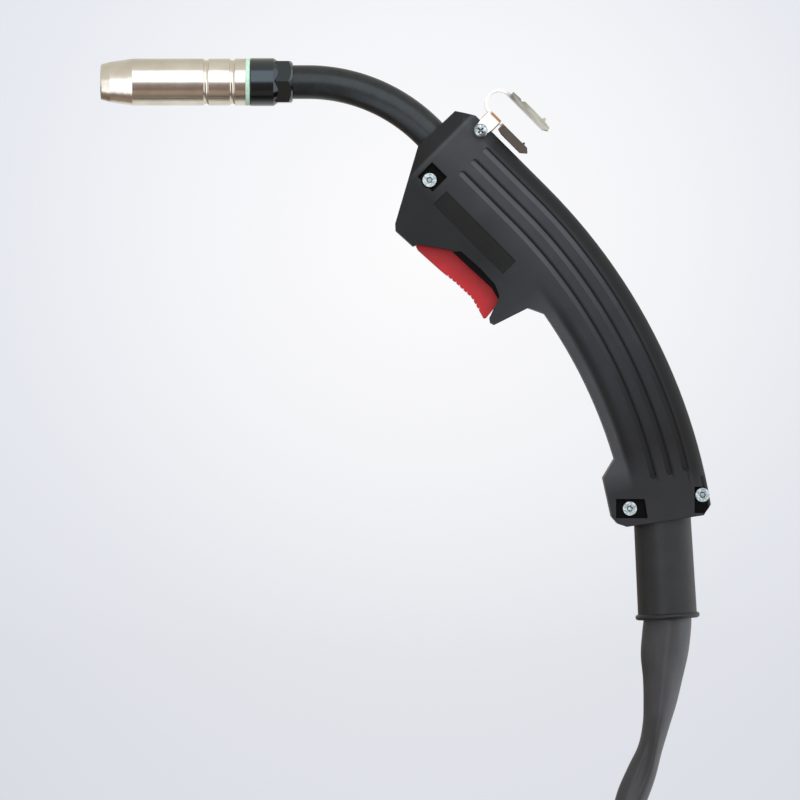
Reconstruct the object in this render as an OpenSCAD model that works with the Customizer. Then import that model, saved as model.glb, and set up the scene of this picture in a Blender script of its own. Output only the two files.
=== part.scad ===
// Gas-shielded (MIG/MAG) welding torch with a bent neck, a curved two-part handle,
// a hanging hook, a trigger and a coiled cable with its central plug. Millimetres, +Z up.
// The origin is the centre of the rod that the hook hangs on; the nozzle points along -X.

/* [Neck] */
// Outer diameter of the insulated neck
neck_d = 17.6; // [16:0.1:18.5]
// Centre-line radius of the neck's bend
neck_bend_r = 88; // [75:1:105]
// Straight neck between its bend and the collar
neck_lead = 7.8; // [5:0.1:20]
// Outer diameter of the copper tube inside the neck
tube_d = 12; // [11:0.1:13]
// Gas bore of the copper tube
tube_bore = 7; // [6:0.1:8]
// Outer diameter of the wire liner
liner_d = 4.6; // [4:0.1:5]
// Bore of the wire liner
liner_bore = 2; // [1.6:0.1:2.6]

/* [Front end] */
// Diameter of the collar
collar_d = 25; // [23:0.1:28]
// Length of the collar
collar_len = 22.3; // [20:0.1:30]
// Length of the collar's hexagonal back part
collar_hex_len = 7.6; // [5:0.1:9]
// Width across flats of the collar's hexagon
collar_af = 21.5; // [20:0.1:22.5]
// Width of the insulating ring's rim
ring_len = 2.1; // [1:0.1:4]
// Outer diameter of the gas nozzle
nozzle_d = 24.4; // [23:0.1:27]
// Length of the gas nozzle
nozzle_len = 75.4; // [68:0.1:85]
// Wall thickness of the gas nozzle
nozzle_wall = 1.8; // [1.5:0.1:2]
// Outer diameter of the nozzle at its mouth
mouth_d = 18.7; // [17.5:0.1:21]
// Length of the nozzle's taper
taper_len = 16.6; // [12:0.1:22]
// Depth of the two rolled grooves round the nozzle
roll_depth = 0.9; // [0.4:0.1:1]
// How far the nozzle pulls off along the insulating ring
nozzle_travel = 14; // [6:1:20]
// Diameter of the contact tip
tip_d = 8; // [7:0.1:9]
// Wire bore of the contact tip
tip_bore = 1.2; // [0.8:0.1:1.6]
// How far the contact tip stays back from the nozzle's mouth
tip_recess = 5; // [2:0.1:10]

/* [Handle] */
// Width of the handle
handle_w = 34; // [33:0.1:38]
// Radius of the handle's back
back_r = 303.5; // [301:0.1:306]
// Depth of the grip, from its back to its belly
grip_depth = 43.5; // [42.5:0.1:45]
// Angle that the grip sweeps
grip_sweep = 36.4; // [36:0.1:37.5]
// Rounding of the back's two shoulders
shoulder_r = 10; // [8:0.1:12]
// Wall thickness of the shells
wall = 2.6; // [2:0.1:2.8]
// Depth of the grooves along the sides
groove_depth = 1; // [0.5:0.1:1.2]
// Width of the grooves along the sides
groove_w = 3.2; // [2:0.1:4]
// Distance between the grooves
groove_pitch = 8.6; // [7:0.1:9]
// Diameter of the handle screws' heads
screw_head_d = 7.3; // [6:0.1:7.6]
// Diameter of the handle screws' shanks
screw_d = 3.4; // [3:0.1:4]

/* [Trigger] */
// Width of the trigger
trigger_w = 14; // [12:0.1:15]
// Diameter of the trigger's hinge pin
pin_d = 4; // [3:0.1:5]
// Number of grip teeth under the trigger
teeth = 10; // [4:1:12]

/* [Hook] */
// Radius of the rod that the hook takes
hook_r = 6.1; // [5.5:0.1:6.5]
// Thickness of the hook's sheet
sheet = 1.4; // [1:0.1:1.6]
// Width of the hook's two arms
hook_w = 12; // [9:0.1:16]
// Width of the strap over the handle
strap_w = 8.3; // [7:0.1:9]

/* [Boot] */
// Diameter of the boot where it leaves the handle
boot_d = 29.7; // [28.5:0.1:30.2]
// Length of the boot outside the handle
boot_len = 51; // [40:0.5:55]
// Height of the boot's rolled rim
rim = 3; // [2:0.1:5]

/* [Cable] */
// Diameter of the cable
cable_d = 15; // [13:0.1:15.2]
// Distance between neighbouring turns of the coil
coil_pitch = 15.6; // [15.6:0.1:18]
// Radius of the coil's outermost turn
coil_r = 103.5; // [98:0.5:115]
// Turns in the coil, half of them in each of its two layers
coil_turns = 5; // [3:1:6]

/* [Plug] */
// Diameter of the plug's union nut
nut_d = 44; // [42:0.5:46]
// Length of the plug's union nut
nut_len = 26; // [22:0.5:30]
// Outer diameter of the plug's gas and wire tube
plug_tube_d = 10; // [8:0.1:12]
// Spring travel of the plug's control pins
pin_travel = 3; // [1:0.5:4]

/* [Hidden] */
$fn = 96;

fit = 0.1;           // radial clearance where one piece seats in another
run_fit = 0.05;      // radial clearance of a hinge
play = 0.3;          // clearance between pieces that move past each other
over = 1;            // how far a cut runs past the face that it opens
far = 300;           // side of a block that cuts off all beyond one face

// The head frame: s runs down the neck's straight end, y across, t towards the back.
neck_turn = 45;                                   // the neck's bend, and the head's slope
head_back = -13.2;                                // t of the handle's straight back
neck_t = -36.6;                                   // t of the neck's axis in the head
bend_s = -16;                                     // s where the neck's bend ends
grip_s = 48.8;                                    // s where the grip's curve starts
grip_c = [grip_s, head_back - back_r];            // centre of the grip's curve
half_w = handle_w / 2;
belly_r = back_r - grip_depth;
deep = belly_r - 35;                              // a radius well inside the belly

// Along the front axis, counted from the start of the neck's bend towards the nozzle's mouth.
collar_z = neck_lead;
ring_z = collar_z + collar_len;
nozzle_z = ring_z + ring_len;
mouth_z = nozzle_z + nozzle_len;
tip_z = mouth_z - tip_recess;
nozzle_bore = nozzle_d - 2 * nozzle_wall;
sleeve_fit_d = nozzle_bore - 2 * play;            // the insulator that the nozzle slides on
diffuser_d = 15.6;
tip_len = 30;
tip_stem = 7;
tip_stem_d = 6;
tip_face = tip_z - tip_len + tip_stem;            // where the tip's shoulder seats
tube_front = ring_z + 14;
slide_z = nozzle_z + nozzle_travel + 9;           // the end of the sleeve that the nozzle slides on

function polar(r, a) = [grip_c[0] + r * sin(a), grip_c[1] + r * cos(a)];
function unit(v) = v / norm(v);
function normal(a, b) = let (d = unit(b - a)) [-d[1], d[0]];
function wrap(p, i) = p[(i + len(p)) % len(p)];
function inset(p, w) = [for (i = [0 : len(p) - 1])
    let (m = normal(wrap(p, i - 1), p[i]), n = normal(p[i], wrap(p, i + 1)))
    p[i] + (m + n) * w / (1 + m * n)];
function arc(c, r, a, b, n) = [for (i = [0 : n]) let (t = a + (b - a) * i / n)
    [c[0] + r * cos(t), c[1] + r * sin(t)]];

// Side outlines in the head frame, counter-clockwise.
head_outline = [[-13.9, -45.7], [6.2, -82.6], [8.6, -84.8], [20.7, -84.2], [21.8, -82.1],
    [36.5, -71.8], [65.5, -70.7], [71.8, -72.6], [75.3, -82.3], [77.4, -83.8], [79.6, -83.2],
    [85.8, -64.5], [94.5, -60.4], polar(belly_r + 16, 10), [64, -24], [60, -4], [8, -4],
    [-2.3, -12.1], [-13.2, -19.3]];
// The same outline without its small bevels and its guard: what the wall is measured from.
core_outline = [[-13.9, -45.7], [7.2, -84.3], [21.5, -84.3], [36.5, -71.8], [71, -71.2],
    [94.5, -60.4], polar(belly_r + 16, 10), [64, -24], [60, -4], [8, -4], [-2.3, -12.1],
    [-13.2, -19.3]];
foot_r = belly_r - 8.4;
foot_outline = [polar(belly_r + 8, 27.8), polar(belly_r + 1.5, 28.2), polar(foot_r, 30.3),
    polar(foot_r, grip_sweep - 1.4), polar(foot_r + 2.4, grip_sweep - 0.5),
    polar(foot_r + 11.2, grip_sweep + 0.5), polar(belly_r + 8, grip_sweep + 0.5)];

// Trigger and switch, in the head frame.
pivot = [16, -76];
barrel_r = 5;                                     // the trigger's round end about its pin
trigger_edge = [[24.2, -83.8], [40.2, -82.9], [50.1, -81.8], [61.5, -81.4], [68.5, -83.3],
    [73.4, -84.7]];
trigger_outline = concat(arc(pivot, barrel_r, 90, 270, 24), [[20.4, -81], [22.2, -83.2]],
    trigger_edge, [[74.1, -83.6], [72.9, -72], [72.4, -66], [46, -66], [30, -69.6], [20, -71]]);
tooth_pitch = 2.6;
tooth_depth = 0.8;
last_tooth_s = 68;
slot_s = [pivot[0] + 4.4, 77.4];                  // where the trigger's slot in the shells runs
slot_t = -66;                                     // and how deep
lever_pivot = [65, -62.4];
lever_len = 18.5;
switch_s = [44, 67];
switch_t = [-60.2, -50.2];
switch_w = 6.4;
plunger_s = lever_pivot[0] - 6.2;
bump_s = 48;

// Screws: place in the head frame, and how far their pockets go in from the side face.
foot_screw_a = grip_sweep - 2;
screw_places = [[2.8, -54, 3.4], concat(polar(belly_r + 1.5, foot_screw_a), 3.4),
    concat(polar(back_r - 3.7, foot_screw_a), 4.6)];
// The pockets' corners, counted from the screw: the first along the head, the two at the foot
// upright. The last runs out at the handle's back.
function slanted(p) = [p[0] * cos(neck_turn) - p[1] * sin(neck_turn),
    p[0] * sin(neck_turn) + p[1] * cos(neck_turn)];
pockets = [[[-5.6, -3.2], [5.4, -3.2], [5.4, 7.5], [-5.6, 7.5]],
    [for (p = [[-7.2, -5], [9.2, -5], [7.6, 4.9], [-7.2, 4.9]]) slanted(p)],
    [for (p = [[-4.2, -9.4], [12, -9.4], [12, 4.2], [-4.2, 4.2]]) slanted(p)]];
// The rim stepped in over the trigger's back half.
rim_in = 1.2;
trigger_rim = [[36.5, -73], [65, -75], [72.6, -75], [70.9, -70.9], [65, -68.3], [54, -67.9],
    [40.5, -68.7]];
head_h = 1.8;
nut_h = 2.4;
nut_af = 6.4;
hook_screw = [3.5, -17.3];
strap_s = -0.9;
strap_t = -hook_r - sheet;                        // where the strap rests on its pad

// Boot frame: z runs down the boot's axis from the handle's end.
boot_seat_r = belly_r + 17.5;
boot_tilt = 5.5;
socket_depth = 7.5;
boot_bore = 26.4;
cable_fit = cable_d / 2 + fit;
// The inner cable: an arc along the grip, then a tighter one into the boot's axis.
cable_r = neck_t - grip_c[1];
settle = 11;
settle_turn = settle + boot_tilt;
settle_r = (boot_seat_r * cos(boot_tilt) - cable_r * cos(settle_turn)) / (1 - cos(settle_turn));
settle_a = grip_sweep - settle;
sleeve_start = 8;
terminal_s = 27;
clamp_a = 20;

// Cable outside the handle, [x, y, z] in the row's own frame; each piece's last point meets the
// next piece. The sleeve hangs from the boot, and the run goes down from it to the floor.
function upright(p) = [p[0] * cos(neck_turn) + p[1] * sin(neck_turn), 0,
    p[1] * cos(neck_turn) - p[0] * sin(neck_turn)];
boot_base = upright(polar(boot_seat_r, grip_sweep));
sleeve_points = [for (p = [[0.5, -8.2], [1.6, -29], [2.7, -49], [2.1, -59], [0.9, -70], [0, -82],
    [-1.3, -94], [-3.3, -106], [-6.3, -118], [-10.5, -130], [-14.9, -141], [-17.9, -149]])
    boot_base + [p[0], 0, p[1]]];
// Half width and half depth of the sleeve at those points.
sleeve_sizes = [[12.5, 12.5], [12.6, 12.4], [12.6, 12], [12.7, 11.6], [12.4, 11], [10.3, 10.6], [8.6, 10.2],
    [6.6, 10], [5.8, 9.8], [6.9, 9], [8, 8], [7.5, 7.5]];
floor_z = -440;
lie_z = floor_z + cable_d / 2;
run_start = sleeve_points[len(sleeve_points) - 1];
// How far the run has gone along -X, and the share of its fall that is left.
run_points = [for (p = [[0, 1], [7, 0.714], [23, 0.338], [48, 0.083], [77, 0], [102, 0]])
    [run_start[0] - p[0], 0, lie_z + (run_start[2] - lie_z) * p[1]]];
tail_len = 51;
coil_entry = run_points[len(run_points) - 1] - [cable_d, 0, 0];
coil_c = coil_entry - [0, coil_r, 0];
coil_steps = 24;
tail_start = coil_entry + [-cable_d, 0, coil_pitch];
plug_start = tail_start - [tail_len, 0, 0];

// Plug, along its own axis from the cable's end.
support_len = 42;
support_d = 21;
housing_z = 36;
housing_d = 38;
nut_z = 78;
nut_wall = 4;
lip = 3;
plug_face = nut_z + nut_len - 1;
neck_plug_d = 27;
pin_x = 9.5;
plug_tube_len = 16;
plug_root_d = plug_tube_d + 2;                    // the tube's thicker part, inside the body
root_z = 66;                                      // and where it starts

// ---------- frames ----------
module head() rotate([0, neck_turn, 0]) children();
module side_plane() rotate([90, 0, 0]) children();
module across(w) side_plane() linear_extrude(w, center = true) children();
module at(p, y = 0) translate([p[0], y, p[1]]) children();
module grip_arc(a, b) at(grip_c) side_plane() rotate([0, 0, 90 - a]) mirror([0, 1, 0])
    rotate_extrude(angle = b - a, $fn = 180) children();
module front() head() translate([bend_s, 0, neck_t - neck_bend_r]) rotate([0, -neck_turn, 0])
    translate([0, 0, neck_bend_r]) rotate([0, -90, 0]) children();
module boot_frame() at(polar(boot_seat_r, grip_sweep))
    rotate([0, 90 + grip_sweep + boot_tilt, 0]) children();
module plug_frame() translate(plug_start) rotate([0, -90, 0]) children();
module tube(d, bore, h) difference() {
    cylinder(d = d, h = h);
    translate([0, 0, -over]) cylinder(d = bore, h = h + 2 * over);
}
module bent_neck(d, bore) head() at([bend_s, neck_t - neck_bend_r]) side_plane()
    rotate([0, 0, 90]) rotate_extrude(angle = neck_turn) translate([neck_bend_r, 0])
    difference() {
        circle(d = d);
        if (bore > 0) circle(d = bore);
    }
module head_tube(d, bore, s) head() translate([bend_s, 0, neck_t]) rotate([0, 90, 0])
    tube(d, bore, s - bend_s);

// ---------- front end ----------
roll_r = 1.6;
module nozzle() color("gainsboro") front() rotate_extrude() difference() {
    polygon([[nozzle_bore / 2, nozzle_z + fit], [nozzle_d / 2, nozzle_z + fit],
        [nozzle_d / 2, mouth_z - taper_len], [mouth_d / 2 + 1.2, mouth_z - 5],
        [mouth_d / 2, mouth_z - 0.6], [mouth_d / 2 - 0.5, mouth_z],
        [mouth_d / 2 - nozzle_wall + 0.3, mouth_z],
        [mouth_d / 2 - nozzle_wall, mouth_z - 4],
        [nozzle_bore / 2 - 0.6, mouth_z - taper_len], [nozzle_bore / 2 - 0.6, nozzle_z + 38],
        [nozzle_bore / 2, nozzle_z + 36]]);
    for (z = [6.9, 20.6]) translate([nozzle_d / 2 + roll_r - roll_depth, nozzle_z + z])
        circle(r = roll_r);
}

module contact_tip() color("peru") front() difference() {
    rotate_extrude() polygon([[0, tip_z - tip_len], [tip_stem_d / 2, tip_z - tip_len],
        [tip_stem_d / 2, tip_face], [tip_d / 2, tip_face], [tip_d / 2, tip_z - 7],
        [tip_d / 2 - 0.9, tip_z - 1], [tip_d / 2 - 1.6, tip_z], [0, tip_z]]);
    translate([0, 0, tip_z - tip_len - over]) cylinder(d = tip_bore, h = tip_len + 2 * over);
    for (m = [0, 1]) mirror([m, 0, 0]) translate([tip_d / 2 - 0.6, -tip_d, tip_face + 4])
        cube([tip_d, 2 * tip_d, 6]);
}

module gas_diffuser() color("goldenrod") front() difference() {
    rotate_extrude() polygon([[tube_d / 2 + fit, ring_z + ring_len + 0.2],
        [diffuser_d / 2, ring_z + ring_len + 0.2], [diffuser_d / 2, ring_z + 26],
        [diffuser_d / 2 - 1.2, ring_z + 28], [diffuser_d / 2 - 1.2, tip_face - 6],
        [tip_d / 2 + 1.3, tip_face - 1], [tip_d / 2 + 1.3, tip_face],
        [tip_stem_d / 2 + fit, tip_face], [tip_stem_d / 2 + fit, tip_z - tip_len - 0.5],
        [liner_d / 2 + 1, tip_z - tip_len - 0.5], [tube_bore / 2, tip_z - tip_len - 5],
        [tube_bore / 2, tube_front + 0.2], [tube_d / 2 + fit, tube_front + 0.2]]);
    for (a = [0 : 60 : 300]) rotate([0, 0, a]) translate([0, 0, ring_z + 32])
        rotate([0, 90, 0]) cylinder(d = 2.2, h = diffuser_d, $fn = 24);
}

module insulator_ring() color([0.74, 0.88, 0.8]) front() rotate_extrude()
    polygon([[tube_d / 2 + fit, ring_z - 5], [tube_d / 2 + 2, ring_z - 5],
        [tube_d / 2 + 2, ring_z], [nozzle_d / 2, ring_z], [nozzle_d / 2, nozzle_z],
        [sleeve_fit_d / 2, nozzle_z], [sleeve_fit_d / 2, nozzle_z + 5.4],
        [sleeve_fit_d / 2 - 0.9, nozzle_z + 5.6], [sleeve_fit_d / 2 - 0.9, nozzle_z + 7.2],
        [sleeve_fit_d / 2, nozzle_z + 7.4], [sleeve_fit_d / 2, slide_z - 1],
        [sleeve_fit_d / 2 - 0.8, slide_z], [diffuser_d / 2 + fit, slide_z],
        [diffuser_d / 2 + fit, nozzle_z + 0.1], [tube_d / 2 + fit, nozzle_z + 0.1]]);

module nozzle_ring() color("silver") front() rotate_extrude()
    translate([sleeve_fit_d / 2 - 0.45, nozzle_z + 6.4]) circle(r = 0.4, $fn = 24);

collar_end_d = neck_d + 2.2;                      // across the hexagon's chamfered end
shoulder = [1.7, 2.4];                            // the collar's chamfer: radially, and along
module neck_collar() color([0.1, 0.1, 0.11]) front() difference() {
    union() {
        translate([0, 0, collar_z]) intersection() {
            rotate([0, 0, 30])
                cylinder(d = collar_af / cos(30), h = collar_hex_len + over, $fn = 6);
            cylinder(d1 = collar_end_d, d2 = 2 * collar_end_d, h = collar_hex_len + over);
        }
        translate([0, 0, collar_z + collar_hex_len]) rotate_extrude() polygon([[0, 0],
            [collar_d / 2 - shoulder[0], 0], [collar_d / 2, shoulder[1]],
            [collar_d / 2, collar_len - collar_hex_len - 0.6],
            [collar_d / 2 - 0.4, collar_len - collar_hex_len],
            [0, collar_len - collar_hex_len]]);
    }
    translate([0, 0, collar_z - over]) cylinder(d = tube_d + 2 * fit, h = collar_len + 2 * over);
    translate([0, 0, collar_z - over]) cylinder(d = neck_d + 2 * fit, h = 3 + over);
    translate([0, 0, ring_z - 5.2]) cylinder(d = tube_d + 4 + 2 * fit, h = 5.2 + over);
}

// ---------- neck ----------
module neck_sleeve() color([0.16, 0.17, 0.18]) {
    bent_neck(neck_d, tube_d + 2 * fit);
    head_tube(neck_d, tube_d + 2 * fit, -3);
    front() tube(neck_d, tube_d + 2 * fit, collar_z + 2.8);
}
module neck_tube() color("peru") {
    bent_neck(tube_d, tube_bore);
    head_tube(tube_d, tube_bore, 16);
    front() tube(tube_d, tube_bore, tube_front);
}
module wire_liner() color("lightsteelblue") {
    bent_neck(liner_d, liner_bore);
    head_tube(liner_d, liner_bore, terminal_s - 2);
    front() tube(liner_d, liner_bore, tip_z - tip_len - 0.7);
}

clamp_s = [2, 25];
clamp_half = 9;
module neck_clamp() color("goldenrod") head() difference() {
    translate([clamp_s[0], -clamp_half, neck_t - clamp_half])
        cube([clamp_s[1] - clamp_s[0], 2 * clamp_half, 2 * clamp_half]);
    translate([clamp_s[0] - over, 0, neck_t]) rotate([0, 90, 0])
        cylinder(d = tube_d + 2 * fit, h = clamp_s[1] - clamp_s[0] + 2 * over);
    for (s = [7, 20]) translate([s, 0, neck_t]) cylinder(d = 4.2, h = clamp_half + over);
}
module clamp_screws() color("dimgray") head() for (s = [7, 20])
    translate([s, 0, neck_t + tube_d / 2 + 0.3]) cylinder(d = 4, h = clamp_half - tube_d / 2 + 0.4);

module power_terminal() color("goldenrod") head() translate([16.3, 0, neck_t])
    rotate([0, 90, 0]) difference() {
        rotate_extrude() polygon([[0, 0], [tube_d / 2, 0], [tube_d / 2, 9.2],
            [cable_d / 2 + 2, 9.2], [cable_d / 2 + 2, terminal_s + 1],
            [cable_d / 2 + 1.2, terminal_s + 2], [0, terminal_s + 2]]);
        translate([0, 0, -over]) cylinder(d = liner_d + 2 * fit, h = 14);
        translate([0, 0, 13]) cylinder(r = cable_fit, h = terminal_s);
    }

// ---------- handle ----------
// Profile across the back, its right side being the back: x to r, shoulders of radius k.
module back_profile(x, r, w, k) polygon(concat([[x, -w]], arc([r - k, k - w], k, -90, 0, 10),
    arc([r - k, w - k], k, 0, 90, 10), [[x, w]]));
module body_bars(g) {
    translate([-20, 0, 0]) rotate([0, 90, 0]) rotate([0, 0, 180]) linear_extrude(grip_s + 20)
        translate([grip_c[1], 0]) back_profile(deep, back_r - g, half_w - g, shoulder_r - g);
    grip_arc(0, grip_sweep + 2) back_profile(deep, back_r - g, half_w - g, shoulder_r - g);
}
module side_outline(g) {
    difference() {
        polygon([polar(deep - 5, 0), polar(deep - 5, 20), polar(deep - 5, grip_sweep + 0.5),
            polar(back_r - 7.3, grip_sweep + 0.5), polar(back_r + 4.7, grip_sweep - 1.8),
            polar(back_r + 20, 20), polar(back_r + 15, 0)]);
        translate(grip_c) circle(r = belly_r + g, $fn = 180);
    }
    if (g == 0) {
        polygon(head_outline);
        polygon(foot_outline);
    } else {
        polygon(inset(core_outline, g));
    }
}
module handle_solid() {
    intersection() {
        body_bars(0);
        across(2 * handle_w) side_outline(0);
    }
    // pad under the hook's strap
    translate([strap_s + 0.3, -half_w, head_back - shoulder_r])
        cube([strap_w - 0.6, handle_w, strap_t - head_back + shoulder_r]);
}
module handle_cavity() difference() {
    intersection() {
        body_bars(wall);
        across(2 * handle_w) side_outline(wall);
    }
    boot_frame() translate([-far / 2, -far / 2, -socket_depth - 1.5]) cube(far);
    // seat round the neck
    translate([-3 - far, -handle_w, -handle_w * 2]) cube([far, 2 * handle_w, 2 * handle_w]);
    // pad block that the hook's screws bite into
    translate([strap_s, -half_w, hook_screw[1] - 4]) cube([strap_w, handle_w, 30]);
    for (p = screw_places) at(p) rotate([90, 0, 0]) cylinder(d = 8, h = handle_w, center = true);
    // walls behind the screws' pockets
    for (m = [0, 1]) mirror([0, m, 0]) for (i = [0 : 2]) let (p = screw_places[i])
        at(p, handle_w) side_plane() linear_extrude(handle_w - half_w + p[2] + wall)
        polygon(inset(pockets[i], -wall));
    // trigger pin bosses
    for (m = [0, 1]) mirror([0, m, 0]) at(pivot, trigger_w / 2 + play) rotate([-90, 0, 0])
        cylinder(d = pin_d + 5, h = handle_w);
    // switch posts
    for (m = [0, 1]) mirror([0, m, 0]) for (s = [switch_s[0] + 5, switch_s[1] - 6])
        at([s, switch_t[1] - 4], switch_w / 2) rotate([-90, 0, 0]) cylinder(d = 5, h = handle_w);
    // cradles that hold the cable and its clamp
    for (a = [8, 14, 28]) cradle(a, cable_fit);
    cradle(clamp_a, cable_d / 2 + 2 + fit);
}
module cradle(a, r) grip_arc(a - 0.25, a + 0.25) difference() {
    translate([deep, -handle_w]) square([far, 2 * handle_w]);
    translate([cable_r - (a > settle_a ? 0.15 : 0), 0]) circle(r = r + (a > settle_a ? 0.3 : 0));
    translate([lead_r, 0]) square([4, 7], center = true);
}
groove_s = 12.8;      // where the grooves start, straight
groove_a = 31.4;      // the angle of the grip where they end
cheek_s = -5.4;       // where the cap's slanted cheeks start
groove_top = 9.5;     // from the back to the first groove's middle
groove_step = 0.2;    // depth of a groove's shallow side
// Profile of a groove at radius r: deepest at the side towards the back.
module groove_profile(r) polygon([[r - groove_w / 2, groove_step - half_w],
    [r + groove_w / 2 - 0.4, groove_depth - half_w], [r + groove_w / 2, groove_depth - half_w],
    [r + groove_w / 2, -half_w - over], [r - groove_w / 2, -half_w - over]]);
module groove(n) {
    r = back_r - groove_top - n * groove_pitch;
    // straight along the head, from a round start
    intersection() {
        translate([groove_s - groove_w, 0, 0]) rotate([0, 90, 0]) rotate([0, 0, 180])
            linear_extrude(grip_s - groove_s + groove_w) translate([grip_c[1], 0])
            groove_profile(r);
        at([groove_s, grip_c[1] + r], far) side_plane() linear_extrude(far) {
            circle(d = groove_w + fit);
            translate([0, -groove_w / 2 - fit]) square([far, groove_w + 2 * fit]);
        }
    }
    // then round the grip
    grip_arc(0, groove_a) groove_profile(r);
    at(polar(r, groove_a), half_w - groove_depth / 2 + far) side_plane() linear_extrude(far)
        circle(d = groove_w - fit);
}
module handle_half(side) head() mirror([0, side > 0 ? 0 : 1, 0]) difference() {
    handle_solid();
    handle_cavity();
    translate([-far, -far, -far]) cube([2 * far, far, 2 * far]);
    // neck, cable and boot
    translate([-20, 0, neck_t]) rotate([0, 90, 0]) cylinder(d = neck_d + 2 * fit, h = 30);
    boot_frame() {
        translate([0, 0, -socket_depth - 4]) cylinder(r = cable_fit + 0.3, h = 6);
        translate([0, 0, -socket_depth]) cylinder(d = boot_d + 2 * fit, h = 2.5);
        translate([0, 0, -5.1]) cylinder(d = boot_d - 3 + 2 * fit, h = 10);
        translate([0, 0, -3]) cylinder(d = boot_d + 2 * fit, h = 20);
    }
    grip_arc(grip_sweep, grip_sweep + 3) translate([deep, -handle_w])
        square([far, 2 * handle_w]);
    // trigger's slot and pin
    translate([slot_s[0], -trigger_w / 2 - play, slot_t - far])
        cube([slot_s[1] - slot_s[0], trigger_w + 2 * play, far]);
    at(pivot, 0) rotate([-90, 0, 0]) cylinder(d = pin_d + 2 * run_fit, h = half_w - 3);
    // screws and their pockets
    for (p = screw_places) at(p, 0) rotate([-90, 0, 0]) cylinder(d = screw_d + 2 * fit, h = handle_w);
    for (i = [0 : 2]) let (p = screw_places[i]) at(p, half_w - p[2] + far) side_plane()
        linear_extrude(far) {
            polygon(pockets[i]);
            circle(d = screw_head_d + 1.4);
        }
    at([0, 0], half_w - rim_in + far) side_plane() linear_extrude(far) polygon(trigger_rim);
    at(hook_screw, half_w - 8) rotate([-90, 0, 0]) cylinder(d = 3, h = 20);
    for (n = [0 : 2]) groove(n);
    // blank field for a label
    at([13.2, -61.5], half_w - 0.4) cube([50.9, 5, 9.5]);
    // slanted cheeks beside the cap
    linear_extrude(far, center = true) polygon([[cheek_s, half_w], [cheek_s - 14.6, half_w - 6],
        [cheek_s - 14.6, half_w + 5], [cheek_s, half_w + 5]]);
}
module left_shell() color([0.22, 0.22, 0.23]) handle_half(-1);
module right_shell() color([0.22, 0.22, 0.23]) handle_half(1);

module handle_screws() color("lightsteelblue") head() for (p = screw_places)
    at(p, -half_w + p[2]) rotate([-90, 0, 0]) difference() {
        union() {
            cylinder(d = screw_d, h = handle_w - 2 * p[2] + nut_h);
            translate([0, 0, -head_h]) cylinder(d = screw_head_d, h = head_h);
        }
        translate([0, 0, -head_h - over]) cylinder(d = 3.4, h = 1.2 + over, $fn = 6);
    }
module handle_nuts() color("silver") head() for (p = screw_places)
    at(p, half_w - p[2]) rotate([-90, 0, 0]) difference() {
        cylinder(d = nut_af / cos(30), h = nut_h, $fn = 6);
        translate([0, 0, -over]) cylinder(d = screw_d + 2 * fit, h = nut_h + 2 * over);
    }

// ---------- hook ----------
lower_len = 28.7;
upper_len = 28;
arm_t = hook_r + sheet;
module hook_web() {
    difference() {
        circle(r = arm_t);
        circle(r = hook_r);
        translate([0, -20]) square(40);
    }
    translate([0, hook_r]) square([upper_len - 2, sheet]);
    translate([0, -arm_t]) square([lower_len - 2, sheet]);
}
// The sheet's turned-up edges along both arms, with the little stops near their ends.
module hook_edges() {
    polygon([[1, hook_r + 0.1], [upper_len - 3, hook_r + 0.1], [upper_len, hook_r + 1.6],
        [upper_len - 0.6, hook_r + 3.4], [23.6, hook_r + 4], [22.9, hook_r + 5.4],
        [21.9, hook_r + 5.2], [21.6, hook_r + 4], [9, hook_r + 4.1], [7.6, hook_r + 2.8],
        [6.4, hook_r + 3.5], [1, hook_r + 3.3]]);
    polygon([[9, -hook_r - 0.1], [9, -hook_r - 3.6], [12, -hook_r - 4.4],
        [lower_len - 3, -hook_r - 4.4], [lower_len, -hook_r - 1.8],
        [lower_len - 2, -hook_r - 0.1], [24.6, -hook_r - 0.1], [24.3, -hook_r + 0.9],
        [23.4, -hook_r + 0.9], [23.1, -hook_r - 0.1]]);
}
module hook() color("silver") head() {
    across(hook_w) hook_web();
    for (m = [0, 1]) mirror([0, m, 0]) translate([0, hook_w / 2 - sheet / 2, 0])
        across(sheet) hook_edges();
    // strap over the handle, and its two ears
    translate([strap_s, -half_w - sheet, strap_t]) cube([strap_w, handle_w + 2 * sheet, sheet]);
    for (m = [0, 1]) mirror([0, m, 0]) difference() {
        translate([0, half_w + sheet / 2, 0]) across(sheet) {
            translate([strap_s, -12]) square([strap_w, 12 + strap_t + sheet]);
            polygon([[strap_s, -12], [hook_screw[0] - 3.2, hook_screw[1]],
                [hook_screw[0] + 3.2, hook_screw[1]], [strap_s + strap_w, -12]]);
            translate(hook_screw) circle(r = 3.2);
        }
        at(hook_screw, half_w - over) rotate([-90, 0, 0]) cylinder(d = 3.2, h = sheet + 2 * over);
    }
}
module hook_screws() color("lightsteelblue") head() for (m = [0, 1]) mirror([0, m, 0])
    at(hook_screw, half_w + sheet) rotate([-90, 0, 0]) difference() {
        union() {
            translate([0, 0, -9]) cylinder(d = 2.9, h = 9);
            rotate_extrude() polygon([[0, 0], [3.65, 0], [3.65, 1], [3, 1.8], [1.6, 2.3], [0, 2.3]]);
        }
        for (a = [0, 90]) rotate([0, 0, a]) translate([-1.8, -0.4, 1.2]) cube([3.6, 0.8, 3]);
    }

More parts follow.
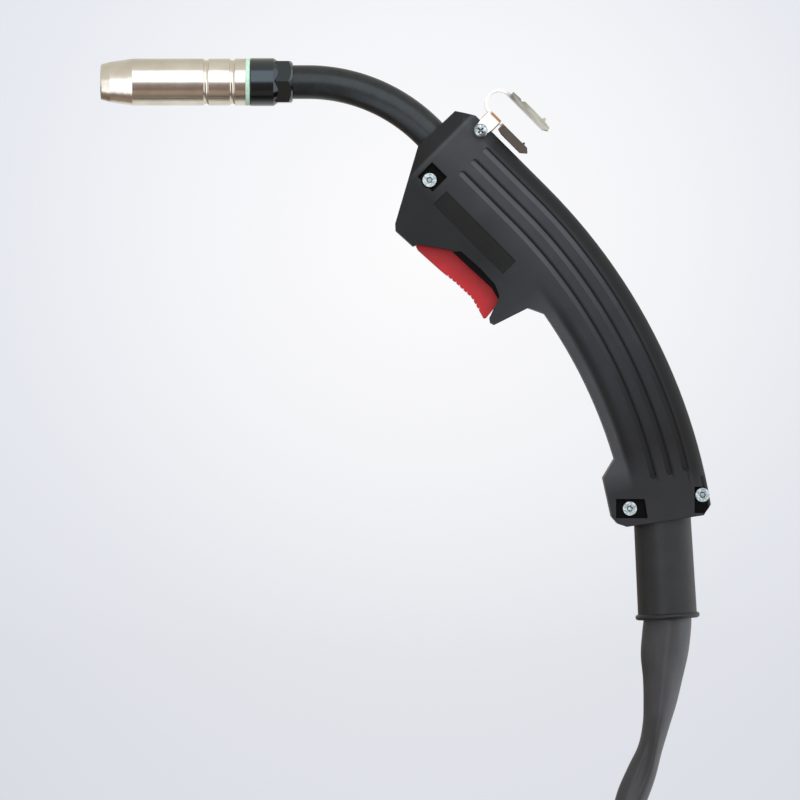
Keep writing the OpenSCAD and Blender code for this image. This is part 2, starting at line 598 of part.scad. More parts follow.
// ---------- trigger and switch ----------
module trigger() color([0.72, 0.15, 0.17]) head() {
    difference() {
        across(trigger_w) difference() {
            polygon(trigger_outline);
            for (i = [0 : teeth - 1]) let (s = last_tooth_s - i * tooth_pitch,
                t = lookup(s, trigger_edge))
                polygon([[s - 0.9, t - over], [s, t + tooth_depth], [s + 1, t - over]]);
        }
        at(pivot) rotate([90, 0, 0]) cylinder(d = pin_d + 2 * run_fit, h = 30, center = true);
        translate([pivot[0] - 8, -spring_w / 2 - fit, pivot[1] - 10])
            cube([13, spring_w + 2 * fit, 20]);
        translate([50, -5, -77]) cube([21, 10, 20]);
        translate([26, -5, -79]) cube([20, 10, 20]);
    }
    translate([bump_s - 1.5, -4, -66.5]) cube([3, 8, 66.5 - 64.2]);
    for (m = [0, 1]) mirror([0, m, 0]) translate([52, trigger_w / 2 - 1, -68.3])
        cube([17, 3.5, 1.7]);
}
module trigger_pin() color("silver") head() at(pivot) rotate([90, 0, 0])
    cylinder(d = pin_d, h = 2 * (half_w - 3.2), center = true);
// A round wire from a to b in the middle plane.
module wire(a, b, d) at(a) rotate([0, atan2(b[0] - a[0], b[1] - a[1]), 0])
    cylinder(d = d, h = norm(b - a));
spring_wire = 0.9;
spring_w = 4.2;
// Torsion spring round the pin, in a notch of the trigger's barrel.
module trigger_spring() color("silver") head() {
    across(spring_w) translate(pivot) difference() {
        circle(r = 4.2);
        circle(r = pin_d / 2 + 0.4);
    }
    wire(pivot + [-3.2, 0.4], pivot + [-12, 7.6], spring_wire);
    wire(pivot + [2.6, -2], pivot + [4.7, -2.4], spring_wire);
}

module switch_body() color([0.12, 0.12, 0.13]) head() difference() {
    union() {
        translate([switch_s[0], -switch_w / 2, switch_t[0]])
            cube([switch_s[1] - switch_s[0], switch_w, switch_t[1] - switch_t[0]]);
        for (m = [0, 1]) mirror([0, m, 0]) translate([lever_pivot[0] - 2, 2.4, lever_pivot[1] - 1.6])
            cube([4, 0.8, switch_t[0] - lever_pivot[1] + 2.6]);
        for (s = [46, 54, 62]) translate([s, -1.6, switch_t[1] - 0.5]) cube([0.8, 3.2, 4.5]);
    }
    at([plunger_s, switch_t[0] - over]) cylinder(d = 2.6, h = 4.4);
    at(lever_pivot) rotate([90, 0, 0]) cylinder(d = 1 + 2 * run_fit, h = 10, center = true);
}
lever_drop = 0.9;
module switch_lever() color("silver") head() {
    translate([lever_pivot[0] - lever_len, -1.9, lever_pivot[1] - lever_drop - 0.4])
        cube([lever_len, 3.8, 0.4]);
    at(lever_pivot) rotate([90, 0, 0]) cylinder(d = 2.2, h = 4.2, center = true);
    at(lever_pivot) rotate([90, 0, 0]) cylinder(d = 1, h = switch_w - 0.2, center = true);
}
module switch_plunger() color("crimson") head()
    at([plunger_s, lever_pivot[1] - lever_drop + play]) cylinder(d = 2, h = 4.4);

lead_r = belly_r + wall + 3;
module switch_leads() color("firebrick") head() for (y = [-1.1, 1.1]) {
    grip_arc(4, 33.2) translate([lead_r, y]) circle(d = 1.8);
}

// ---------- cable inside the handle ----------
// Its centre line: straight behind the terminal, then the two arcs, then the boot's axis.
function on_arc(r, a, k) = [k[0] + r * sin(a), 0, k[1] + r * cos(a)];
settle_c = [grip_c[0] + (cable_r - settle_r) * sin(settle_a),
    grip_c[1] + (cable_r - settle_r) * cos(settle_a)];
boot_seat = polar(boot_seat_r, grip_sweep);
boot_a = grip_sweep + boot_tilt;
inner_path = concat([[terminal_s + 3, 0, neck_t]],
    [for (i = [0 : 8]) on_arc(cable_r, i * settle_a / 8, grip_c)],
    [for (i = [1 : 5]) on_arc(settle_r, settle_a + i * settle_turn / 5, settle_c)],
    [[boot_seat[0] + sleeve_start * cos(boot_a), 0, boot_seat[1] - sleeve_start * sin(boot_a)]]);
module inner_cable() color([0.2, 0.2, 0.22]) head()
    skin([for (i = [0 : len(inner_path) - 1]) ring(inner_path[i], heading(inner_path, i),
        [0, 1, 0], cable_d / 2, cable_d / 2, 16)], 16);
module cable_clamp() color("silver") head() grip_arc(clamp_a - 1, clamp_a + 1)
    translate([cable_r, 0]) difference() {
        circle(d = cable_d + 4);
        circle(r = cable_fit);
    }

// ---------- boot and sleeve ----------
module boot() color([0.27, 0.27, 0.28]) head() boot_frame() rotate_extrude()
    polygon(concat([[cable_fit + 0.5, -socket_depth + 0.2], [boot_d / 2 - 0.6, -socket_depth + 0.2],
        [boot_d / 2, -socket_depth + 0.8], [boot_d / 2, -5.2], [boot_d / 2 - 1.5, -5.2],
        [boot_d / 2 - 1.5, -2.9], [boot_d / 2, -2.9], [boot_d / 2 + 0.5, boot_len - rim]],
        arc([boot_d / 2 + 0.4, boot_len - rim / 2], rim / 2, -80, 80, 8),
        [[boot_bore / 2 + 0.6, boot_len], [boot_bore / 2, boot_len - 1],
        [boot_bore / 2, sleeve_start], [cable_fit, sleeve_start - 0.8], [cable_fit, 0]]));

function ring(c, t, up, a, b, n) = let (v = unit(up - (up * t) * t), u = cross(v, t))
    [for (i = [0 : n - 1]) c + a * cos(i * 360 / n) * u + b * sin(i * 360 / n) * v];
function heading(p, i) = unit(p[min(i + 1, len(p) - 1)] - p[max(i - 1, 0)]);
// One closed skin through rings of n points each.
module skin(rings, n) {
    k = len(rings);
    polyhedron(points = [for (r = rings) each r], faces = concat(
        [for (j = [0 : k - 2], i = [0 : n - 1]) let (a = j * n + i, b = j * n + (i + 1) % n)
            [a, b, b + n]],
        [for (j = [0 : k - 2], i = [0 : n - 1]) let (a = j * n + i, b = j * n + (i + 1) % n)
            [a, b + n, a + n]],
        [for (i = [1 : n - 2]) [0, i + 1, i]],
        [for (i = [1 : n - 2]) [(k - 1) * n, (k - 1) * n + i, (k - 1) * n + i + 1]]),
        convexity = 8);
}
end_heading = unit(run_points[1] - run_points[0]);
module cable_sleeve() color([0.35, 0.36, 0.37])
    skin([for (i = [0 : len(sleeve_points) - 1]) ring(sleeve_points[i],
        i == len(sleeve_points) - 1 ? end_heading : heading(sleeve_points, i), [0, 1, 0],
        sleeve_sizes[i][0], sleeve_sizes[i][1], 12)], 12);
module cable_run() color([0.3, 0.3, 0.31])
    skin([for (i = [0 : len(run_points) - 1]) ring(run_points[i],
        i == 0 ? end_heading : i == len(run_points) - 1 ? [-1, 0, 0] : heading(run_points, i),
        [0, 1, 0], cable_d / 2, cable_d / 2, 12)], 12);

// The coil: in along the lower layer, up in the half turn where it reverses, out along the
// upper layer. Each end runs straight for one cable diameter.
function climb(x) = x <= 0 ? 0 : x >= 1 ? 1 : (1 - cos(180 * x)) / 2;
function coil_point(a) = let (mid = coil_turns * 180,
    r = coil_r - coil_pitch * (mid - abs(a - mid)) / 360)
    coil_c + [r * cos(90 + a), r * sin(90 + a), coil_pitch * climb((a - mid + 90) / 180)];
coil_path = concat([run_points[len(run_points) - 1]],
    [for (i = [0 : coil_steps * coil_turns]) coil_point(i * 360 / coil_steps)], [tail_start]);
function coil_heading(i) = i == 0 || i == len(coil_path) - 1 ? [-1, 0, 0] : heading(coil_path, i);
module cable_coil() color([0.3, 0.3, 0.31])
    skin([for (i = [0 : len(coil_path) - 1]) ring(coil_path[i], coil_heading(i), [0, 0, 1],
        cable_d / 2, cable_d / 2, 6)], 6);
least_gap = min([for (i = [0 : len(coil_path) - 13], j = [i + 12 : len(coil_path) - 1])
    norm(coil_path[i] - coil_path[j])]) - cable_d;
echo(str("least gap between the coil's turns: ", least_gap, " mm"));

module cable_tail() color([0.3, 0.3, 0.31])
    skin([for (i = [0 : 2]) ring(tail_start - [i * tail_len / 2, 0, 0], [-1, 0, 0], [0, 0, 1],
        cable_d / 2, cable_d / 2, 12)], 12);

// ---------- plug ----------
module plug_support() color([0.15, 0.15, 0.16]) plug_frame() rotate_extrude()
    polygon(concat([[cable_fit, 0.1], [support_d / 2 - 0.8, 0.1]],
        [for (i = [0 : 6]) each let (z = 1 + i * 4.8, r = support_d / 2 + i * 0.35)
            [[r, z], [r, z + 2.8], [r - 1.1, z + 3.3], [r - 1.1, z + 4.3]]],
        [[support_d / 2 + 2.4, 35], [support_d / 2 + 2.4, support_len],
        [cable_fit, support_len]]));
module plug_housing() color([0.15, 0.15, 0.16]) plug_frame() difference() {
    rotate_extrude() polygon([[support_d / 2 + 2.4 + fit, housing_z],
        [housing_d / 2 - 4, housing_z], [housing_d / 2 - 1, housing_z + 3],
        [housing_d / 2, housing_z + 8], [housing_d / 2, nut_z - 4],
        [housing_d / 2 - 2, nut_z - play], [neck_plug_d / 2 + fit, nut_z - play],
        [neck_plug_d / 2 + fit, support_len], [support_d / 2 + 2.4 + fit, support_len]]);
    for (a = [0 : 30 : 330]) rotate([0, 0, a]) translate([housing_d / 2 + 0.9, 0, housing_z + 9])
        cylinder(d = 4, h = nut_z - housing_z - 16, $fn = 32);
    for (a = [15, 195]) rotate([0, 0, a]) translate([0, 0, 62]) rotate([0, 90, 0])
        cylinder(d = 3.2, h = 40, $fn = 32);
}
module plug_screws() color("silver") plug_frame() for (a = [15, 195]) rotate([0, 0, a])
    translate([neck_plug_d / 2 - 2, 0, 62]) rotate([0, 90, 0]) difference() {
        cylinder(d = 3, h = housing_d / 2 - neck_plug_d / 2 + 1.6);
        translate([-2, -0.3, housing_d / 2 - neck_plug_d / 2 + 0.9]) cube([4, 0.6, 2]);
    }
module plug_body() color("goldenrod") plug_frame() difference() {
    rotate_extrude() polygon([[cable_fit, support_len + 0.2], [neck_plug_d / 2, support_len + 0.2],
        [neck_plug_d / 2, nut_z + lip + play], [nut_d / 2 - nut_wall - play, nut_z + lip + play],
        [nut_d / 2 - nut_wall - play, nut_z + lip + 4], [nut_d / 2 - nut_wall - 2, nut_z + lip + 5],
        [nut_d / 2 - nut_wall - 2, plug_face - 0.8], [nut_d / 2 - nut_wall - 2.8, plug_face],
        [plug_root_d / 2 + fit, plug_face], [plug_root_d / 2 + fit, root_z], [cable_fit, root_z]]);
    for (m = [-1, 1]) translate([m * pin_x, 0, plug_face - 14]) cylinder(d = 4 + 2 * run_fit, h = 20);
    for (a = [15, 195]) rotate([0, 0, a]) translate([neck_plug_d / 2 - 2.2, 0, 62])
        rotate([0, 90, 0]) cylinder(d = 3.2, h = 6, $fn = 32);
}
module plug_tube() color("goldenrod") plug_frame() difference() {
    rotate_extrude() polygon([[liner_d / 2 + 0.4, root_z], [plug_root_d / 2, root_z],
        [plug_root_d / 2, plug_face - 0.2], [plug_tube_d / 2, plug_face - 0.2],
        [plug_tube_d / 2, plug_face + plug_tube_len - 7.2],
        [plug_tube_d / 2 - 1, plug_face + plug_tube_len - 7.2],
        [plug_tube_d / 2 - 1, plug_face + plug_tube_len - 5],
        [plug_tube_d / 2, plug_face + plug_tube_len - 5],
        [plug_tube_d / 2, plug_face + plug_tube_len - 1.5],
        [plug_tube_d / 2 - 1, plug_face + plug_tube_len],
        [liner_d / 2 + 0.4, plug_face + plug_tube_len]]);
}
module plug_o_ring() color([0.08, 0.08, 0.08]) plug_frame() rotate_extrude()
    translate([plug_tube_d / 2 - 0.51, plug_face + plug_tube_len - 6.1]) circle(r = 0.48, $fn = 24);
module plug_pins() color("goldenrod") plug_frame() for (m = [-1, 1])
    translate([m * pin_x, 0, plug_face - 14 + pin_travel + 1]) rotate_extrude()
        polygon([[0, 0], [2, 0], [2, 17], [1.6, 18], [0, 18.4]]);
module plug_nut() color([0.2, 0.2, 0.21]) plug_frame() difference() {
    rotate_extrude() polygon([[neck_plug_d / 2 + play, nut_z], [nut_d / 2 - 1.5, nut_z],
        [nut_d / 2, nut_z + 1.5], [nut_d / 2, nut_z + nut_len - 1],
        [nut_d / 2 - 1, nut_z + nut_len], [nut_d / 2 - nut_wall, nut_z + nut_len],
        [nut_d / 2 - nut_wall, nut_z + lip], [neck_plug_d / 2 + play, nut_z + lip]]);
    for (i = [0 : 15]) rotate([0, 0, i * 22.5]) translate([nut_d / 2 + 2, 0, nut_z - over])
        cylinder(r = 3.2, h = nut_len - 3, $fn = 32);
}

nozzle();
contact_tip();
gas_diffuser();
nozzle_ring();
insulator_ring();
neck_collar();
neck_sleeve();
neck_tube();
wire_liner();
neck_clamp();
clamp_screws();
power_terminal();
left_shell();
right_shell();
handle_screws();
handle_nuts();
hook();
hook_screws();
trigger();
trigger_pin();
trigger_spring();
switch_body();
switch_lever();
switch_plunger();
switch_leads();
inner_cable();
cable_clamp();
boot();
cable_sleeve();
cable_run();
cable_coil();
cable_tail();
plug_support();
plug_housing();
plug_screws();
plug_body();
plug_tube();
plug_o_ring();
plug_pins();
plug_nut();
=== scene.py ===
import math
import bmesh
import bpy
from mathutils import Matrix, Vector, noise


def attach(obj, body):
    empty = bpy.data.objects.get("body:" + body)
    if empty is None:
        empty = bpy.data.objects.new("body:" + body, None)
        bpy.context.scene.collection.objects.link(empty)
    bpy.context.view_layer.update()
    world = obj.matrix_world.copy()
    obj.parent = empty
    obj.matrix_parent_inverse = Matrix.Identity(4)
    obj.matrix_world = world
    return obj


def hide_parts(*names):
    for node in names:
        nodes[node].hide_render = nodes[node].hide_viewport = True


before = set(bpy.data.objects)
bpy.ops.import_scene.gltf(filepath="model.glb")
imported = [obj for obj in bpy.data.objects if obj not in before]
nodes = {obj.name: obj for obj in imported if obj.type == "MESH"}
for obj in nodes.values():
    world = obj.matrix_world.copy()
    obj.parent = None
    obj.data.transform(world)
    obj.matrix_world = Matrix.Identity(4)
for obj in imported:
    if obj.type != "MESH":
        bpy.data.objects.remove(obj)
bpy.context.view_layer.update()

MM = 0.001
scene = bpy.context.scene
scene.view_settings.view_transform = "Standard"
scene.view_settings.look = "None"


# ---- Camera ----
# A long lens, four metres off, looks straight along +Y at the torch's middle plane, so the
# torch shows nearly flat, as in a catalogue. The frame is 416 mm wide there.
camera_away = 4.0
frame_width = 0.416
frame_x, frame_z = -0.0515, -0.1541
camera_data = bpy.data.cameras.new("camera")
camera_data.sensor_width = 36
camera_data.lens = camera_data.sensor_width * camera_away / frame_width
camera_data.clip_end = 40
camera = bpy.data.objects.new("camera", camera_data)
camera.location = (frame_x, -camera_away, frame_z)
camera.rotation_euler = (math.radians(90), 0, 0)
scene.collection.objects.link(camera)
scene.camera = camera


# ---- Free cable ----
# Rubber-sheathed welding cable with its hose and control cores inside, extruded round and
# smooth. It comes down out of the sleeve and is wound in a flat two-layer coil on the floor.
def rgb(code):
    """An sRGB hex colour as linear red, green, blue and alpha."""
    parts = [int(code[i:i + 2], 16) / 255 for i in (1, 3, 5)]
    return [c / 12.92 if c <= 0.04045 else ((c + 0.055) / 1.055) ** 2.4 for c in parts] + [1]


def add_node(tree, kind, inputs=None, **settings):
    """A shader node with its settings; an input takes a value or another node's output."""
    made = tree.nodes.new(kind)
    for key, value in settings.items():
        setattr(made, key, value)
    for key, value in (inputs or {}).items():
        if isinstance(value, bpy.types.NodeSocket):
            tree.links.new(value, made.inputs[key])
        else:
            made.inputs[key].default_value = value
    return made


def new_material(name, **values):
    """A material with one Principled shader, and its tree, shader and object coordinates."""
    material = bpy.data.materials.new(name)
    material.use_nodes = True
    tree = material.node_tree
    shader = tree.nodes["Principled BSDF"]
    for key, value in values.items():
        shader.inputs[key.replace("_", " ")].default_value = value
    place = add_node(tree, "ShaderNodeTexCoord").outputs["Object"]
    return material, tree, shader, place


def finish_nodes(material, *names):
    """Gives CAD nodes this material."""
    for name in names:
        for slot in nodes[name].material_slots:
            slot.material = material
        if not nodes[name].material_slots:
            nodes[name].data.materials.append(material)


# neoprene sheath, extruded: matt, with a faint bloom and fine scuffs
cable_rubber, tree, shader, place = new_material("neoprene_cable_sheath", Roughness=0.52, IOR=1.52)
bloom_and_side_light = add_node(tree, "ShaderNodeTexNoise", {"Vector": place, "Scale": 90, "Detail": 5})
shade = add_node(tree, "ShaderNodeValToRGB", {"Fac": bloom_and_side_light.outputs["Fac"]})
shade.color_ramp.elements[0].position = 0.3
shade.color_ramp.elements[0].color = rgb("#2b2c2e")
shade.color_ramp.elements[1].position = 0.75
shade.color_ramp.elements[1].color = rgb("#3c3d40")
tree.links.new(shade.outputs["Color"], shader.inputs["Base Color"])
grain = add_node(tree, "ShaderNodeTexNoise", {"Vector": place, "Scale": 1800, "Detail": 3})
bump = add_node(tree, "ShaderNodeBump", {"Height": grain.outputs["Fac"], "Strength": 0.15,
                                         "Distance": 0.1 * MM})
tree.links.new(bump.outputs["Normal"], shader.inputs["Normal"])

# the cable's line and sizes, in millimetres
floor_z = -440
cable_d = 15
boot_base = Vector((84.946, 0, -216.951))
lie_z = floor_z + cable_d / 2
run_start = boot_base + Vector((-17.9, 0, -149))
fall = run_start.z - lie_z
# how far it has gone toward -X, and the share of its height that it still has
run_rows = [(0, 1), (7, 0.714), (23, 0.338), (48, 0.083), (77, 0), (102, 0)]
run_line = [Vector((run_start.x - along, 0, lie_z + fall * share)) for along, share in run_rows]
coil_pitch, coil_r, coil_turns, coil_steps = 15.6, 103.5, 5, 24
tail_step, tail_knots = 17, 4
coil_entry = run_line[-1] - Vector((cable_d, 0, 0))
coil_centre = coil_entry - Vector((0, coil_r, 0))
# in degrees, how far it turns to the coil's middle, and while it climbs a layer
half_coil, climb = coil_turns * 360 / 2, 180


def coil_point(turned):
    """A point of the coil's line after it has turned so many degrees.

    It winds inward on the floor, climbs one layer, and winds outward again on top.
    """
    r = coil_r - coil_pitch * (half_coil - abs(turned - half_coil)) / 360
    risen = min(1, max(0, (turned - half_coil + climb / 2) / climb))
    angle = math.radians(90 + turned)
    return coil_centre + Vector((r * math.cos(angle), r * math.sin(angle),
                                 coil_pitch * (1 - math.cos(math.pi * risen)) / 2))


coil = [coil_point(i * 360 / coil_steps) for i in range(coil_steps * coil_turns + 1)]
tail_start = coil_entry + Vector((-cable_d, 0, coil_pitch))
tail = [tail_start - Vector((i * tail_step, 0, 0)) for i in range(tail_knots)]
curve = bpy.data.curves.new("torch_cable", "CURVE")
curve.dimensions = "3D"
curve.bevel_depth = cable_d / 2 * MM
curve.bevel_resolution = 6
curve.resolution_u = 4
curve.use_fill_caps = True
line = curve.splines.new("BEZIER")
points = run_line + coil + tail
line.bezier_points.add(len(points) - 1)
for knot, p in zip(line.bezier_points, points):
    knot.co = p * MM
    knot.handle_left_type = knot.handle_right_type = "AUTO"
# where it lies down, nothing of the curve dips under the floor
for knot in line.bezier_points:
    left, right = knot.handle_left.copy(), knot.handle_right.copy()
    knot.handle_left_type = knot.handle_right_type = "FREE"
    knot.handle_left = (left.x, left.y, max(left.z, lie_z * MM))
    knot.handle_right = (right.x, right.y, max(right.z, lie_z * MM))
cable = bpy.data.objects.new("torch_cable", curve)
scene.collection.objects.link(cable)
cable.data.materials.append(cable_rubber)
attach(cable, "handle")
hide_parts("cable_run", "cable_coil", "cable_tail")


# ---- Sleeve over the cable ----
# A soft vinyl cover over the cable and its gas hose, where they come out of the boot. It
# is flattened between them, with a valley down its length, and turns as it goes down.
sleeve_line = [boot_base + Vector((x, 0, z)) for x, z in [
    (0.5, -8.2), (1.6, -29), (2.7, -49), (2.1, -59), (0.9, -70), (0, -82), (-1.3, -94),
    (-3.3, -106), (-6.3, -118), (-10.5, -130), (-14.9, -141), (-17.9, -149)]]
# half width and half depth at each of those points, where the valley runs across the width
# (-1 to 1), and how deep it is as a share of the half depth
sleeve_shape = [
    (12.3, 12.3, -0.35, 0), (12.4, 12.2, -0.35, 0.04), (12.5, 12, -0.35, 0.1),
    (12.6, 11.5, -0.35, 0.13), (12.2, 11, -0.38, 0.14), (10.3, 10.6, -0.42, 0.15),
    (8.7, 10.2, -0.45, 0.16), (7, 10, -0.4, 0.18), (6.4, 9.8, -0.1, 0.26),
    (7.6, 9, 0, 0.3), (8.1, 8.2, 0, 0.2), (7.6, 7.6, 0, 0)]
# the valley's width as a share of the half width; how far the cover falls away past it, in
# depths of the valley; and the size and height of the soft creases
valley_width = 0.36
fall_away = 1.6
crease_across, crease_along, crease_height = 9, 26, 0.22
rings, around = 110, 64


def between(rows, t):
    """A row part way along a list of rows, on a smooth curve through them."""
    i = min(int(t), len(rows) - 2)
    f = t - i
    a, b, c, d = (rows[min(max(j, 0), len(rows) - 1)] for j in (i - 1, i, i + 1, i + 2))
    return [0.5 * (2 * q + (r - p) * f + (2 * p - 5 * q + 4 * r - s) * f * f
                   + (3 * q - p - 3 * r + s) * f ** 3) for p, q, r, s in zip(a, b, c, d)]


steps = [i * (len(sleeve_line) - 1) / rings for i in range(rings + 1)]
sleeve_path = [Vector(between(sleeve_line, step)) for step in steps]
shell = bmesh.new()
hoops = []
for i, centre in enumerate(sleeve_path):
    wide, deep, valley, depth = between(sleeve_shape, steps[i])
    ahead = sleeve_path[min(i + 1, rings)] - sleeve_path[max(i - 1, 0)]
    sideways = Vector((-ahead.z, 0, ahead.x)).normalized()
    hoop = []
    for j in range(around):
        a = j * 2 * math.pi / around
        x, y = math.cos(a), math.sin(a)
        dip = depth * math.exp(-((x - valley) / valley_width) ** 2) * abs(y) ** 0.5
        dip += fall_away * depth * max(0, valley - x) / (1 + valley)
        p = centre + sideways * (x * wide) + Vector((0, 1, 0)) * (y * deep * (1 - dip))
        crease = crease_height * noise.noise(Vector((p.x / crease_across, p.y / crease_across,
                                                     p.z / crease_along)))
        hoop.append(shell.verts.new((p + (p - centre).normalized() * crease) * MM))
    hoops.append(hoop)
for one, two in zip(hoops, hoops[1:]):
    for j in range(around):
        k = (j + 1) % around
        shell.faces.new((one[j], one[k], two[k], two[j]))
shell.faces.new(hoops[0])
shell.faces.new(list(reversed(hoops[-1])))
bmesh.ops.recalc_face_normals(shell, faces=shell.faces)
mesh = bpy.data.meshes.new("cable_cover")
shell.to_mesh(mesh)
shell.free()
mesh.shade_smooth()
sleeve = bpy.data.objects.new("cable_cover", mesh)
scene.collection.objects.link(sleeve)

# soft vinyl, calendered: a low sheen over a fine leather-like grain
vinyl, tree, shader, place = new_material("soft_vinyl_cover", Roughness=0.4, IOR=1.5,
                                          Specular_IOR_Level=0.4)
cloud = add_node(tree, "ShaderNodeTexNoise", {"Vector": place, "Scale": 55, "Detail": 4})
shade = add_node(tree, "ShaderNodeValToRGB", {"Fac": cloud.outputs["Fac"]})
shade.color_ramp.elements[0].position = 0.3
shade.color_ramp.elements[0].color = rgb("#3d3e41")
shade.color_ramp.elements[1].position = 0.75
shade.color_ramp.elements[1].color = rgb("#4e4f53")
# painted light: its +X side, toward the back of the handle, is painted paler, as if lit from the
# right
facing = add_node(tree, "ShaderNodeNewGeometry").outputs["Normal"]
facing = add_node(tree, "ShaderNodeSeparateXYZ", {"Vector": facing}).outputs["X"]
bloom_and_side_light = add_node(tree, "ShaderNodeValToRGB", {"Fac": facing})
bloom_and_side_light.color_ramp.elements[0].color = rgb("#cfcfd2")
bloom_and_side_light.color_ramp.elements[1].position = 0.6
bloom_and_side_light.color_ramp.elements[1].color = rgb("#ffffff")
side_lit = add_node(tree, "ShaderNodeMix", {"Factor": 1.0, 6: shade.outputs["Color"],
                                           7: bloom_and_side_light.outputs["Color"]},
                   data_type="RGBA", blend_type="MULTIPLY")
tree.links.new(side_lit.outputs[2], shader.inputs["Base Color"])
grain = add_node(tree, "ShaderNodeTexVoronoi", {"Vector": place, "Scale": 1500}, feature="F1")
bump = add_node(tree, "ShaderNodeBump", {"Height": grain.outputs["Distance"], "Strength": 0.12,
                                         "Distance": 0.12 * MM})
tree.links.new(bump.outputs["Normal"], shader.inputs["Normal"])
mesh.materials.append(vinyl)
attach(sleeve, "handle")
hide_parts("cable_sleeve")


# ---- Gas nozzle ----
# Copper tube spun to a taper and nickel plated, with two rolled grooves that grip the
# insulator. Polished: the turning leaves only the finest lines round it.
nickel, tree, shader, place = new_material("polished_nickel_plate", Metallic=1, Roughness=0.17)
lines = add_node(tree, "ShaderNodeMapping", {"Vector": place, "Scale": (1, 0.06, 0.06)})
turning = add_node(tree, "ShaderNodeTexNoise",
                   {"Vector": lines.outputs["Vector"], "Scale": 2600, "Detail": 4})
tarnish = add_node(tree, "ShaderNodeTexNoise", {"Vector": place, "Scale": 70, "Detail": 4})
shade = add_node(tree, "ShaderNodeValToRGB", {"Fac": tarnish.outputs["Fac"]})
shade.color_ramp.elements[0].position = 0.3
shade.color_ramp.elements[0].color = rgb("#ddd6cb")
shade.color_ramp.elements[1].position = 0.7
shade.color_ramp.elements[1].color = rgb("#f3efe7")
tree.links.new(shade.outputs["Color"], shader.inputs["Base Color"])
bump = add_node(tree, "ShaderNodeBump", {"Height": turning.outputs["Fac"], "Strength": 0.12,
                                         "Distance": 0.05 * MM})
# spinning leaves it faintly uneven, a few millimetres from hump to hump
waves = add_node(tree, "ShaderNodeTexNoise", {"Vector": place, "Scale": 420, "Detail": 2})
uneven = add_node(tree, "ShaderNodeBump", {"Height": waves.outputs["Fac"], "Strength": 0.35,
                                           "Distance": 0.1 * MM,
                                           "Normal": bump.outputs["Normal"]})
tree.links.new(uneven.outputs["Normal"], shader.inputs["Normal"])
finish_nodes(nickel, "nozzle")


# ---- Contact tip, gas diffuser and snap ring ----
# The tip is turned from copper alloy and screws into the brass diffuser, whose six holes
# let the gas out. A steel snap ring in the insulator grips the nozzle.
copper, tree, shader, place = new_material("turned_copper", Metallic=1, Roughness=0.3)
patina = add_node(tree, "ShaderNodeTexNoise", {"Vector": place, "Scale": 160, "Detail": 4})
shade = add_node(tree, "ShaderNodeValToRGB", {"Fac": patina.outputs["Fac"]})
shade.color_ramp.elements[0].color = rgb("#a8623f")
shade.color_ramp.elements[1].color = rgb("#d0895c")
tree.links.new(shade.outputs["Color"], shader.inputs["Base Color"])
finish_nodes(copper, "contact_tip", "neck_tube")

brass, tree, shader, place = new_material("turned_brass", Metallic=1, Roughness=0.3)
patina = add_node(tree, "ShaderNodeTexNoise", {"Vector": place, "Scale": 140, "Detail": 4})
shade = add_node(tree, "ShaderNodeValToRGB", {"Fac": patina.outputs["Fac"]})
shade.color_ramp.elements[0].color = rgb("#a98a45")
shade.color_ramp.elements[1].color = rgb("#d1b368")
tree.links.new(shade.outputs["Color"], shader.inputs["Base Color"])
finish_nodes(brass, "gas_diffuser", "neck_clamp", "power_terminal", "plug_body", "plug_tube",
             "plug_pins")

spring_steel, tree, shader, place = new_material("drawn_spring_steel", Metallic=1, Roughness=0.28)
draw = add_node(tree, "ShaderNodeTexNoise", {"Vector": place, "Scale": 900, "Detail": 3})
shade = add_node(tree, "ShaderNodeValToRGB", {"Fac": draw.outputs["Fac"]})
shade.color_ramp.elements[0].color = rgb("#9a9a9c")
shade.color_ramp.elements[1].color = rgb("#c4c4c6")
tree.links.new(shade.outputs["Color"], shader.inputs["Base Color"])
finish_nodes(spring_steel, "nozzle_ring", "wire_liner", "trigger_pin", "trigger_spring",
             "switch_lever")

dark_steel, tree, shader, place = new_material("blackened_steel", Metallic=1, Roughness=0.42)
oxide = add_node(tree, "ShaderNodeTexNoise", {"Vector": place, "Scale": 400, "Detail": 4})
shade = add_node(tree, "ShaderNodeValToRGB", {"Fac": oxide.outputs["Fac"]})
shade.color_ramp.elements[0].color = rgb("#3a3a3d")
shade.color_ramp.elements[1].color = rgb("#5a5a5e")
tree.links.new(shade.outputs["Color"], shader.inputs["Base Color"])
finish_nodes(dark_steel, "clamp_screws", "cable_clamp")


# ---- Insulating ring ----
# Moulded in pale green glass-filled resin. Only its rim shows between the nozzle and the
# collar; it keeps the nozzle off the live neck.
mint, tree, shader, place = new_material("mint_resin", Roughness=0.38, IOR=1.54,
                                         Subsurface_Weight=0.2, Subsurface_Scale=1.5 * MM)
fleck = add_node(tree, "ShaderNodeTexNoise", {"Vector": place, "Scale": 700, "Detail": 3})
shade = add_node(tree, "ShaderNodeValToRGB", {"Fac": fleck.outputs["Fac"]})
shade.color_ramp.elements[0].position = 0.35
shade.color_ramp.elements[0].color = rgb("#b3dcc4")
shade.color_ramp.elements[1].position = 0.7
shade.color_ramp.elements[1].color = rgb("#cdeeda")
tree.links.new(shade.outputs["Color"], shader.inputs["Base Color"])
finish_nodes(mint, "insulator_ring")


